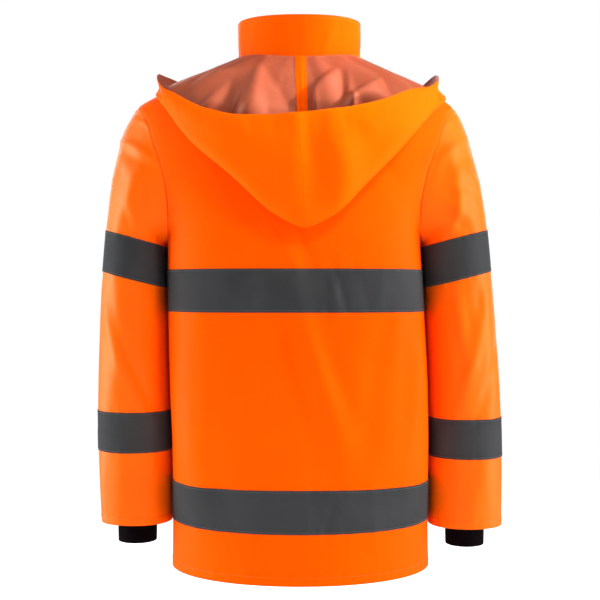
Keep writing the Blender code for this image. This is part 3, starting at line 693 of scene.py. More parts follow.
@dataclass(frozen=True)
class Finishes:
    """The finished materials, made once and shared by the sub-assemblies."""

    shell: bpy.types.Material
    # sleeve: the shell's orange painted lighter, as painted light for the stronger side light on the
    # sleeves
    sleeve: bpy.types.Material
    reverse: bpy.types.Material
    # hood_out: the shell's orange painted lighter, as painted light on the hood's outside
    hood_out: bpy.types.Material
    tape: bpy.types.Material
    knit: bpy.types.Material
    zip_cloth: bpy.types.Material
    teeth: bpy.types.Material
    metal: bpy.types.Material
    thread: bpy.types.Material
    grey_thread: bpy.types.Material


# -------------------- sewing
@dataclass
class Thread:
    """Rows of lockstitch, gathered and made into one mesh.

    Attributes:
        name: the piece's name.
        finish: the thread's finish.
        slot: the material slot that it takes its finish from.
        pitch: from one stitch to the next.
        length: how much of the pitch shows on the face.
        radius: half the thread's thickness.
    """

    name: str
    finish: bpy.types.Material
    # slot: a material slot's name, handed on to the piece's Sewn.
    slot: str = "orange_shell"
    pitch: float = 0.0034
    length: float = 0.0026
    radius: float = 0.00038
    sides: int = 5
    profile: ClassVar[tuple[Array, Array]] = (  # shares of its length, and heights in radii
        np.array([0.0, 0.22, 0.78, 1.0]), np.array([-0.7, 0.5, 0.5, -0.7]))
    rings: list[Array] = field(default_factory=list)

    def row(self, points: Array, normals: Array, closed: bool = False) -> None:
        """Adds stitches along a line on the cloth.

        A stitch is a short tube whose ends sink in: ring k stands at s0 + f_k * length along the
        line, h_k * radius above the cloth.

        Args:
            points: the line's points, in order.
            normals: the cloth's normals there.
            closed: whether the line runs back to its start.
        """
        if closed:
            points = np.concatenate([points, points[:1]])
            normals = np.concatenate([normals, normals[:1]])
        far = run_length(points, 0)
        count = max(int(far[-1] / self.pitch), 1)
        starts = (np.arange(count) + 0.15) * far[-1] / count
        shares, heights = self.profile
        s = np.minimum(starts[:, None] + shares * self.length, far[-1])
        middle = np.stack([np.interp(s, far, points[:, k]) for k in range(3)], axis=-1)
        up = np.stack([np.interp(s, far, normals[:, k]) for k in range(3)], axis=-1)
        along = middle[:, -1] - middle[:, 0]
        along = along / np.maximum(np.linalg.norm(along, axis=-1, keepdims=True), TINY)
        across = np.cross(up, along[:, None])
        turn = 2 * math.pi * np.arange(self.sides) / self.sides
        circle = (across[:, :, None] * np.cos(turn)[:, None] + up[:, :, None] * np.sin(turn)[:, None])
        lifted = middle + up * heights[:, None] * self.radius
        self.rings.append(lifted[:, :, None] + circle * self.radius)

    def build(self, role: Optional[Sewn] = None) -> bpy.types.Object:
        """Makes the stitches one mesh of tubes with closed ends.

        Args:
            role: what the piece is to the model, if it isn't plain stitching.

        Returns:
            The new object.
        """
        rings = np.concatenate(self.rings)
        count, high, wide = rings.shape[:3]
        first = (np.arange(count) * high * wide)[:, None, None]
        r, c = np.meshgrid(np.arange(high - 1), np.arange(wide), indexing="ij")
        corners = np.stack([r * wide + c, r * wide + (c + 1) % wide,
                            (r + 1) * wide + (c + 1) % wide, (r + 1) * wide + c], axis=-1)
        walls = (first[..., None] + corners[None]).reshape(-1, 4)
        ends = np.stack([np.arange(wide)[::-1], np.arange(wide) + (high - 1) * wide])
        caps = (first + ends[None]).reshape(-1, wide)
        mesh = bpy.data.meshes.new(self.name)
        mesh.from_pydata(rings.reshape(-1, 3).tolist(), [], walls.tolist() + caps.tolist())
        mesh.update()
        mesh.shade_smooth()
        log.info("%s: %d stitches", self.name, count)
        return add_piece(self.name, mesh, [self.finish], role or Sewn(self.slot))


# -------------------- back, fronts and bands
@dataclass
class Body:
    """Back panel, two fronts, their bands of reflective tape and their stitching."""

    torso: Torso
    finishes: Finishes
    cloth: float = 0.002
    tape: float = 0.0008
    gap: float = 0.0003
    tape_short: float = 0.001  # tape ends short of the side seam
    tape_stitch: float = 0.003  # stitching inside the tape's edges
    back_columns: int = 116
    front_columns: int = 62
    near: tuple[float, ...] = (0.0018, 0.0036, 0.0056, 0.0078, 0.0104, 0.0134)  # closer at the ends
    straight_share: float = 0.45  # middle share of a panel that doesn't follow the armhole
    follow_power: float = 1.5  # how late the rest of it starts to follow
    zip_stitches: tuple[float, float] = (0.0035, 0.0095)  # in from the zip's edge
    armhole_stitch: float = 0.006

    def columns(self, count: int) -> Array:
        """Shares from 0 to 1, closer together at both ends, where the seams are."""
        near = np.array(self.near)
        return np.unique(np.round(np.concatenate([np.linspace(0, 1, count + 1), near, 1 - near]), 6))

    def squeezed(self, share: Array) -> Array:
        """How far a column follows the armhole seam: none in the panel's middle, all at 1."""
        return np.clip((share - self.straight_share) / (1 - self.straight_share), 0, 1) ** self.follow_power

    def relieved(self, angle: Array, height: Array) -> Patch:
        """The panel's patch: the form's points moved along its normals by the relief."""
        plain = Patch(self.torso.point(angle, height), out=-1.0)
        return plain.raised(self.torso.relief(angle, height)[..., None])

    def back(self, rows: Array) -> Patch:
        """Back panel: rows down the back, columns from the left seam to the right one.

        Args:
            rows: heights of the rows.

        Returns:
            The panel.
        """
        height = rows[:, None]
        share = 2 * self.columns(self.back_columns)[None, :] - 1
        edge = np.where(share < 0, self.torso.edge_angle(height, Side.LEFT, 1),
                        self.torso.edge_angle(height, Side.RIGHT, 1))
        swept = math.pi / 2 * (1 - np.abs(share)) + edge * self.squeezed(np.abs(share))
        angle = np.where(share < 0, swept, math.pi - swept)
        return self.relieved(angle, height + 0 * share)

    def front(self, rows: Array, side: Side) -> Patch:
        """One front: rows down it, columns from the side seam to the zip.

        Args:
            rows: heights of the rows.
            side: the wearer's left or right.

        Returns:
            The panel.
        """
        height = rows[:, None]
        share = 1 - self.columns(self.front_columns)[None, :]
        stop = math.pi / 2 - self.torso.zip_half / self.torso.size("front", height)
        swept = stop * (1 - share) + self.torso.edge_angle(height, side, -1) * self.squeezed(share)
        angle = -swept if side is Side.LEFT else math.pi + swept
        patch = self.relieved(angle, height + 0 * share)
        return patch if side is Side.RIGHT else Patch(patch.points, out=1.0)

    def build(self) -> None:
        """Makes the three panels, their bands and every row of stitching on them."""
        rows = self.torso.rows()
        patches = {"back": self.back(rows)} | {f"front_{s.word}": self.front(rows, s) for s in Side}
        thread = Thread("body_stitching", self.finishes.thread)
        grey = Thread("body_tape_stitching", self.finishes.grey_thread, "reflective_tape")
        for name, patch in patches.items():
            node = "back_panel" if name == "back" else name
            faces = (self.finishes.shell, self.finishes.reverse)
            add_cloth(f"{name}_cloth", patch, self.cloth, faces,
                      Sewn("orange_shell", (node,)))
            for level, top in zip(("upper", "lower"), self.torso.bands):
                self.band(name, level, patch, rows, top, grey)
            self.seams(patch, rows, thread, name)
        thread.build()
        grey.build()

    def band(self, name: str, level: str, patch: Patch, rows: Array, top: float, grey: Thread) -> None:
        """One band of tape on one panel, and the stitching along its edges.

        Args:
            name: the panel's name.
            level: upper or lower.
            patch: the panel.
            rows: heights of its rows.
            top: height of the band's upper edge.
            grey: the thread that takes the stitches.
        """
        strip = patch.raised(self.gap + self.tape, rows_between(rows, top, top - self.torso.band))
        for edge, inner in ((0, 1), (-1, -2)):
            step = strip.points[:, inner] - strip.points[:, edge]
            strip.points[:, edge] += step / np.linalg.norm(step, axis=1, keepdims=True) * self.tape_short
        add_cloth(f"tape_{level}_{name}_band", strip, self.tape, (self.finishes.tape,),
                  Sewn("reflective_tape", (f"tape_{level}_{name}",)))
        for height in (top - self.tape_stitch, top - self.torso.band + self.tape_stitch):
            columns = self.between_seams(patch)
            points, normals = patch.at(row_at(rows, height) + 0 * columns, columns)
            grey.row(points + normals * (self.gap + self.tape), normals)

    def seams(self, patch: Patch, rows: Array, thread: Thread, name: str) -> None:
        """Hem stitching all round, and beside the zip on the fronts and the armholes.

        Args:
            patch: the panel.
            rows: heights of its rows.
            thread: takes the stitches.
            name: the panel's name.
        """
        across, each = self.between_seams(patch), np.arange(len(rows))
        thread.row(*patch.at(row_at(rows, self.torso.hem + self.torso.hem_turned) + 0 * across, across))
        if name != "back":
            down = np.linspace(0.5, len(rows) - 1.5, 600)
            for inset in self.zip_stitches:
                thread.row(*patch.at(down, np.interp(down, each, patch.inset(inset, -1))))
        short = self.armhole_stitch
        arm = np.flatnonzero((rows < self.torso.tip - short) & (rows > self.torso.underarm + short))
        run = np.linspace(arm[0], arm[-1], 300)
        for edge in ((0, -1) if name == "back" else (0,)):
            thread.row(*patch.at(run, np.interp(run, each, patch.inset(short, edge))))

    def between_seams(self, patch: Patch) -> Array:
        """Fractional columns of a row of stitches across a panel, short of both its edges."""
        return np.linspace(0.6, patch.points.shape[1] - 1.6, 400)


# -------------------- sleeves and cuffs
@dataclass
class Sleeve:
    """One set-in sleeve, its two bands of tape and its knitted storm cuff.

    Across is degrees round the sleeve from its outer edge, 90 at the back. Down is the height
    of the sleeve's outer edge. The back's creases are by metres to the right, seen from behind,
    and by height.
    """

    torso: Torso
    side: Side
    finishes: Finishes
    cloth: float = 0.002
    tape: float = 0.0008
    gap: float = 0.0003
    armhole_gap: float = 0.0003
    head_welt: float = 0.0007  # seam allowance pressed under the sleeve, at its edge
    clear: float = 0.004
    cap_end: float = -0.205
    roundness: float = 2.25
    hem_turned: float = 0.014
    tape_stitch: float = 0.003
    bands: tuple[tuple[float, float], ...] = ((-0.282, -0.352), (-0.5915, -0.661))
    around: int = 108
    degree: float = 0.0014  # metres of cloth for a degree round the sleeve
    head_gathers: Gathers = Gathers(0.017, 0.001, 0.028)
    tape_gathers: Gathers = Gathers(0.027, 0.0008, 0.012)
    hem_gathers: Gathers = Gathers(0.019, 0.0009, 0.009)
    band_shift: float = 0.23  # the lower band's gathers start elsewhere
    sizes: Columns = field(default_factory=lambda: table(
        "outer left right inner depth centre lower",
        (-0.075, 0.284, 0.266, -0.295, 0.11, 0.0, 0.0),
        (-0.0925, 0.296, 0.278, -0.2975, 0.11, 0.0, 0.0),
        (-0.12, 0.309, 0.289, -0.3, 0.108, 0.0, 0.0),
        (-0.16, 0.318, 0.2995, -0.303, 0.103, 0.0, 0.0),
        (-0.205, 0.325, 0.309, -0.306, 0.097, 0.0, 0.0),
        (-0.245, 0.3305, 0.3165, -0.3085, 0.091, 0.0, 0.0),
        (-0.282, 0.3345, 0.3215, -0.311, 0.086, 0.0, 0.0),
        (-0.352, 0.341, 0.3285, -0.381, 0.081, -0.001, 0.0),
        (-0.405, 0.345, 0.334, -0.426, 0.079, -0.003, 0.002),
        (-0.47, 0.348, 0.34, -0.482, 0.077, -0.006, 0.005),
        (-0.53, 0.3505, 0.345, -0.536, 0.0745, -0.009, 0.008),
        (-0.5915, 0.352, 0.3485, -0.5925, 0.071, -0.012, 0.012),
        (-0.661, 0.3515, 0.3505, -0.661, 0.067, -0.014, 0.011),
        (-0.72, 0.3495, 0.351, -0.72, 0.0635, -0.015, 0.009),
        (-0.7855, 0.346, 0.3505, -0.7855, 0.06, -0.015, 0.006)))
    folds: dict[Side, tuple[tuple[float, ...], ...]] = field(default_factory=lambda: {
        Side.LEFT: ((30, 75, -0.36, -0.58, 12, 0.004), (62, 80, -0.42, -0.62, 11, -0.003),
                    (70, 30, -0.1, -0.26, 11, 0.0035), (262, 50, -0.36, -0.56, 12, 0.004),
                    (236, 60, -0.42, -0.62, 11, -0.003), (40, -10, -0.66, -0.8, 14, 0.0025)),
        Side.RIGHT: ((50, 60, -0.37, -0.6, 12, 0.004), (20, 70, -0.44, -0.62, 11, -0.003),
                     (60, 45, -0.1, -0.27, 11, 0.0035), (250, 55, -0.38, -0.6, 12, 0.004),
                     (285, 20, -0.44, -0.62, 11, -0.003), (75, 15, -0.66, -0.8, 14, 0.0025))})
    creases: dict[Side, Creases] = field(default_factory=lambda: {
        Side.LEFT: Creases((0.0014, 1.0), (
            (250, -0.1, 280, -0.19, 0.008, 0.0014), (290, -0.15, 270, -0.25, 0.007, -0.0012),
            (240, -0.38, 270, -0.48, 0.009, 0.0014), (300, -0.44, 255, -0.54, 0.008, -0.0013),
            (265, -0.6, 290, -0.72, 0.008, 0.0012), (230, -0.68, 250, -0.76, 0.007, -0.001),
            (0, -0.4, -25, -0.52, 0.009, 0.0014), (15, -0.62, -10, -0.72, 0.008, 0.0012))),
        Side.RIGHT: Creases((0.0014, 1.0), (
            (255, -0.11, 285, -0.2, 0.008, 0.0014), (300, -0.13, 280, -0.24, 0.007, -0.0011),
            (235, -0.4, 275, -0.5, 0.01, 0.0014), (290, -0.48, 250, -0.57, 0.008, -0.0012),
            (270, -0.62, 300, -0.74, 0.008, 0.0013), (-5, -0.42, -30, -0.54, 0.01, 0.0015),
            (10, -0.64, -20, -0.74, 0.008, -0.001)))})
    back_creases: dict[Side, Creases] = field(default_factory=lambda: {
        Side.LEFT: Creases((1.0, 1.0), (
            (-0.289, -0.091, -0.24, -0.12, 0.0042, 0.0024),
            (-0.316, -0.124, -0.232, -0.174, 0.007, 0.005),
            (-0.312, -0.15, -0.232, -0.19, 0.006, -0.0018),
            (-0.306, -0.15, -0.268, -0.215, 0.011, 0.003),
            (-0.274, -0.196, -0.308, -0.3, 0.011, 0.0034),
            (-0.262, -0.205, -0.262, -0.3, 0.01, -0.0014),
            (-0.308, -0.34, -0.296, -0.48, 0.015, 0.0036),
            (-0.298, -0.44, -0.318, -0.58, 0.013, 0.0026),
            (-0.268, -0.37, -0.262, -0.52, 0.012, -0.0014),
            (-0.3, -0.63, -0.306, -0.76, 0.014, 0.0018),
            (-0.262, -0.65, -0.272, -0.74, 0.01, -0.001))),
        Side.RIGHT: Creases((1.0, 1.0), (
            (0.232, -0.118, 0.274, -0.088, 0.0042, 0.0022),
            (0.222, -0.172, 0.288, -0.122, 0.0075, 0.005),
            (0.232, -0.19, 0.296, -0.152, 0.006, -0.0018),
            (0.258, -0.176, 0.306, -0.218, 0.0085, 0.0032),
            (0.244, -0.2, 0.296, -0.226, 0.007, -0.002),
            (0.226, -0.232, 0.3, -0.276, 0.009, 0.0034),
            (0.24, -0.262, 0.296, -0.3, 0.007, -0.0016),
            (0.256, -0.368, 0.282, -0.52, 0.011, 0.0042),
            (0.312, -0.36, 0.32, -0.56, 0.012, 0.003),
            (0.296, -0.372, 0.302, -0.44, 0.007, -0.0018),
            (0.272, -0.545, 0.296, -0.495, 0.007, 0.002),
            (0.236, -0.43, 0.246, -0.56, 0.009, -0.0012),
            (0.312, -0.65, 0.318, -0.76, 0.012, 0.002),
            (0.258, -0.62, 0.25, -0.74, 0.011, -0.001)))})
    cuff_sizes: Columns = field(default_factory=lambda: table(
        "height width depth",
        (0.022, 0.044, 0.044),
        (0.006, 0.035, 0.034),
        (-0.012, 0.0335, 0.0315),
        (-0.037, 0.033, 0.031)))
    cuff_sewn: float = 0.4
    knit: float = 0.0025
    ribs: int = 54
    rib: float = 0.0004
    rib_points: int = 6  # columns for one rib
    cuff_rows: int = 30
    patch: Patch = field(init=False)
    out: float = field(init=False)

    def __post_init__(self) -> None:
        """Notes which way the sleeve's across times down points."""
        self.out = -float(self.side.value)

    def size(self, column: str, outer: Array) -> Array:
        """One of the sleeve's sizes at a height of its outer edge."""
        return smooth(outer, self.sizes["outer"], self.sizes[column])

    def armhole(self, around: Array) -> Array:
        """The armhole seam: the body's point whose height falls by (1 - cos a) / 2.

        Args:
            around: in radians round the sleeve.

        Returns:
            The point of the seam.
        """
        height = self.torso.armhole_height(np.arccos(np.cos(around)))
        back = np.sin(around) >= 0
        edge = np.where(back, self.torso.edge_angle(height, self.side, 1),
                        -self.torso.edge_angle(height, self.side, -1))
        return self.torso.point(edge if self.side is Side.LEFT else math.pi - edge, height)

    def round_factor(self, around: Array) -> Array:
        """(|cos a|^n + |sin a|^n)^(-1/n), the section's own roundness."""
        n = self.roundness
        return (np.abs(np.cos(around)) ** n + np.abs(np.sin(around)) ** n) ** (-1 / n)

    def ring(self, around: Array, outer: Array, clear: Array, folded: bool) -> Array:
        """Points of the sleeve by its own sizes, before its head is drawn onto the armhole.

        Args:
            around: in radians round the sleeve.
            outer: height of the outer edge.
            clear: how far the inner side stands off the body.
            folded: whether the large folds are in it.

        Returns:
            The points.
        """
        inner, depth = self.size("inner", outer), self.size("depth", outer)
        out_x = self.size(self.side.word, outer)
        in_x = self.torso.size(self.side.word, inner) + clear
        across, deep = np.cos(around), np.sin(around)
        k = self.round_factor(around)
        if folded:
            raised = soft_folds(np.degrees(around) % 360, outer, self.folds[self.side])
            k = k * (1 + raised / self.sizes["depth"][-1])
        x = (out_x + in_x) / 2 + k * across * (out_x - in_x) / 2
        y = self.size("centre", outer) + k * deep * depth
        z = (outer + inner) / 2 + k * across * (outer - inner) / 2
        if self.side is Side.RIGHT:
            z = z - self.size("lower", outer)
        return np.stack([x * self.side.value, y, z], axis=-1)

    def point(self, around: Array, outer: Array) -> Array:
        """The sleeve's surface: its own rings, drawn onto the armhole over the sleeve head.

        Args:
            around: in radians round the sleeve.
            outer: height of the outer edge.

        Returns:
            The points.
        """
        tip = self.torso.tip
        reach = ease((tip - outer) / (tip - self.cap_end))
        rings = self.ring(around, outer, self.clear * reach, True)
        top = self.ring(around, np.full_like(outer, tip), 0.0 * outer, False)
        rings = rings + (1 - reach)[..., None] * (self.armhole(around) - top)
        rings[..., 0] += self.side.value * self.armhole_gap
        return rings

    def rows(self) -> Array:
        """Heights of the fine rows: closer at the sleeve head, the tapes' edges and the hem.

        Returns:
            The heights, falling.
        """
        end, tip = self.sizes["outer"][-1], self.torso.tip
        head = tip - np.array([0, 0.0008, 0.0018, 0.003, 0.0045, 0.0065, 0.009])
        even = np.linspace(tip - 0.013, end, 142)
        return merged_rows(np.concatenate([head, even]), end + self.hem_turned, self.bands)

    def relief(self, points: Array, around: Array, outer: Array, from_edge: Array) -> Array:
        """Creases, the welt and gathers at the sleeve head, puckers and the turned end.

        Args:
            points: the plain sleeve's points.
            around: in radians round the sleeve.
            outer: height of the outer edge.
            from_edge: distance down from the sleeve head's edge.

        Returns:
            How far the cloth stands out, in metres.
        """
        degrees = np.degrees(around) % 360
        along = np.degrees(around) * self.degree
        upper = (1 + np.cos(around)) / 2
        creases = self.creases[self.side]
        rise = creases.height(degrees, outer) + creases.height(degrees - 360, outer)
        facing_back = ease((points[..., 1] - 0.01) / 0.03)
        behind = self.back_creases[self.side].height(-points[..., 0], points[..., 2])
        rise = rise + facing_back * behind
        rise = rise + self.head_gathers.height(along, self.torso.tip - outer) * upper
        rise = rise + self.head_welt * bell(from_edge - 0.004, 0.003)
        for i, (top, bottom) in enumerate(self.bands):
            for line in (top, bottom):
                rise = rise + self.tape_gathers.height(along + self.band_shift * i, outer - line)
        off = outer - self.sizes["outer"][-1] - self.hem_turned
        return rise + self.hem_gathers.height(along + 0.4, off) + turned_hem(off)

    def build(self) -> None:
        """Makes the sleeve, its bands, its stitching and its cuff."""
        rows, word = self.rows(), self.side.word
        around = np.linspace(-math.pi, math.pi, self.around, endpoint=False)[None, :]
        outer = rows[:, None] + 0 * around
        around = around + 0 * outer
        plain = Patch(self.point(around, outer), self.out, True)
        rise = self.relief(plain.points, around, outer, run_length(plain.points, 0))
        self.patch = plain.raised(rise[..., None])
        sewn_in = Patch(np.concatenate([self.allowance(), self.patch.points]), self.out, True)
        # the sleeve's outer face takes the orange painted lighter, which is painted light
        add_cloth(f"sleeve_{word}_cloth", sewn_in, self.cloth,
                  (self.finishes.sleeve, self.finishes.reverse),
                  Sewn("orange_shell", (f"sleeve_{word}",)))
        thread = Thread(f"sleeve_{word}_stitching", self.finishes.thread)
        grey = Thread(f"sleeve_{word}_tape_stitching", self.finishes.grey_thread, "reflective_tape")
        for level, (top, bottom) in zip(("upper", "lower"), self.bands):
            strip = self.patch.raised(self.gap + self.tape, rows_between(rows, top, bottom))
            node = f"tape_sleeve_{word}_{level}"
            add_cloth(f"{node}_band", strip, self.tape, (self.finishes.tape,),
                      Sewn("reflective_tape", (node,)))
            for height in (top - self.tape_stitch, bottom + self.tape_stitch):
                self.stitch_round(grey, rows, height, self.gap + self.tape)
        self.stitch_round(thread, rows, rows[-1] + self.hem_turned, 0.0)
        thread.build()
        grey.build()
        self.build_cuff()

    def allowance(self) -> Array:
        """The seam allowance: the sleeve head turned in and pressed under the body's edge.

        Returns:
            Two rings of points, the deepest first.
        """
        edge, normal = self.patch.points[0], self.patch.normals[0]
        onward = edge - self.patch.points[1]
        onward = onward / np.linalg.norm(onward, axis=1, keepdims=True)
        steps = ((0.0034, 0.008), (0.0032, 0.0008))  # how deep, and how far past the edge
        return np.stack([edge - normal * deep + onward * past for deep, past in steps])

    def stitch_round(self, thread: Thread, rows: Array, height: float, lift: float) -> None:
        """A row of stitches round the sleeve at a height of its outer edge.

        Args:
            thread: takes the stitches.
            rows: heights of the sleeve's rows.
            height: height of the stitches.
            lift: how far they stand off the sleeve.
        """
        columns = np.linspace(0, self.around, 240, endpoint=False)
        points, normals = self.patch.at(row_at(rows, height) + 0 * columns, columns)
        thread.row(points + normals * lift, normals, closed=True)

    def build_cuff(self) -> None:
        """Ribbed knit cuff: from the sleeve's inside it closes on the wrist.

        Its radius is the section's size + rib * |cos(ribs a / 2)|^0.6 for the ribs.
        """
        ends = self.sizes["outer"][-2:, None]
        around = np.linspace(-math.pi, math.pi, self.ribs * self.rib_points, endpoint=False)[None, :]
        stretch = Patch(self.point(around + 0 * ends, ends + 0 * around), self.out, True)
        inside = stretch.points - stretch.normals * (self.cloth + self.torso.edge)
        sewn = inside[0] + self.cuff_sewn * (inside[1] - inside[0])
        middle = (stretch.points[1].max(axis=0) + stretch.points[1].min(axis=0)) / 2
        width, depth, height = (self.cuff_sizes[n][:, None] for n in ("width", "depth", "height"))
        wrist = np.stack([middle[0] + self.side.value * width * np.cos(around),
                          middle[1] + depth * np.sin(around), middle[2] + height + 0 * around], axis=-1)
        rings = np.concatenate([sewn[None], wrist])
        far = run_length(rings[:, 0], 0)
        spots = np.linspace(0, far[-1], self.cuff_rows)
        lower = np.clip(np.searchsorted(far, spots, side="right") - 1, 0, len(far) - 2)
        share = ((spots - far[lower]) / (far[lower + 1] - far[lower]))[:, None, None]
        form = Patch((1 - share) * rings[lower] + share * rings[lower + 1], self.out, True)
        ribs = self.rib * np.abs(np.cos(self.ribs * around / 2)) ** 0.6
        fade = ease(np.linspace(0, 6, len(spots)))[:, None]
        add_cloth(f"cuff_{self.side.word}_knit", form.raised((ribs * fade)[..., None]), self.knit,
                  (self.finishes.knit,), Sewn("black_knit", (f"cuff_{self.side.word}",)))


# -------------------- collar
@dataclass
class Collar:
    """Stand collar, doubled, with a stitched top edge."""

    torso: Torso
    finishes: Finishes
    cloth: float = 0.003
    height: float = 0.075
    side_dip: float = 0.01
    flare: float = 0.0015
    lean: float = 0.0075
    seam: float = 0.00045  # foot above the body's top edge
    top_stitch: float = 0.006  # stitching below the top edge
    foot_stitch: float = 0.005  # stitching above the neck seam
    rows: int = 22
    columns: int = 150
    top_gathers: Gathers = Gathers(0.018, 0.0005, 0.01)
    foot_gathers: Gathers = Gathers(0.02, 0.0006, 0.012)
    creases: Creases = Creases((0.0016, 0.075), (
        (118, 0.05, 128, 0.8, 0.007, 0.0012), (136, 0.3, 140, 0.95, 0.006, -0.001),
        (60, 0.1, 66, 0.75, 0.008, 0.001), (88, 0.2, 80, 0.9, 0.009, -0.0008),
        (30, 0.15, 38, 0.85, 0.007, 0.001), (-20, 0.1, -34, 0.8, 0.008, 0.0012),
        (-52, 0.15, -44, 0.85, 0.007, -0.001), (200, 0.1, 212, 0.85, 0.008, 0.0012),
        (232, 0.1, 226, 0.8, 0.007, -0.001)))

    def point(self, angle: Array, share: Array) -> Array:
        """Point of the collar: share 0 is the neck seam and 1 the top edge.

        Args:
            angle: in radians round the neck.
            share: from the neck seam to the top edge.

        Returns:
            The points.
        """
        foot = self.torso.point(angle, self.torso.sizes["height"][0] + 0 * angle)
        foot[..., 2] += self.seam
        frontness = (1 - np.sin(angle)) / 2
        rise = self.height - self.side_dip * np.cos(angle) ** 2
        lean = np.stack([self.flare * np.cos(angle), -self.lean * frontness, rise], axis=-1)
        return foot + np.asarray(share)[..., None] * lean

    def build(self) -> None:
        """Makes the collar from the left front round the back to the right front."""
        stop = math.pi / 2 - self.torso.zip_half / self.torso.sizes["front"][0]
        angle = np.linspace(-stop, math.pi + stop, self.columns + 1)[None, :]
        share = np.linspace(1, 0, self.rows)[:, None]
        angle, share = angle + 0 * share, share + 0 * angle
        plain = Patch(self.point(angle, share), -1.0)
        rise = self.creases.height(np.degrees(angle), share)
        off = (1 - share) * self.height - self.top_stitch
        rise = rise + 0.0008 * np.sin(math.pi * share) - 0.0006 * bell(off, 0.0022)
        along = angle * 0.09
        rise = rise + self.top_gathers.height(along, off)
        rise = rise + self.foot_gathers.height(along + 0.2, share * self.height)
        patch = plain.raised(rise[..., None])
        add_cloth("collar_cloth", patch, self.cloth, (self.finishes.shell, self.finishes.shell),
                  Sewn("orange_shell", ("collar",)))
        thread = Thread("collar_stitching", self.finishes.thread)
        high, wide = patch.points.shape[:2]
        columns = np.linspace(0.8, wide - 1.8, 300)
        for drop in (self.top_stitch, self.height - self.foot_stitch):
            thread.row(*patch.at(drop / self.height * (high - 1) + 0 * columns, columns))
        thread.build()


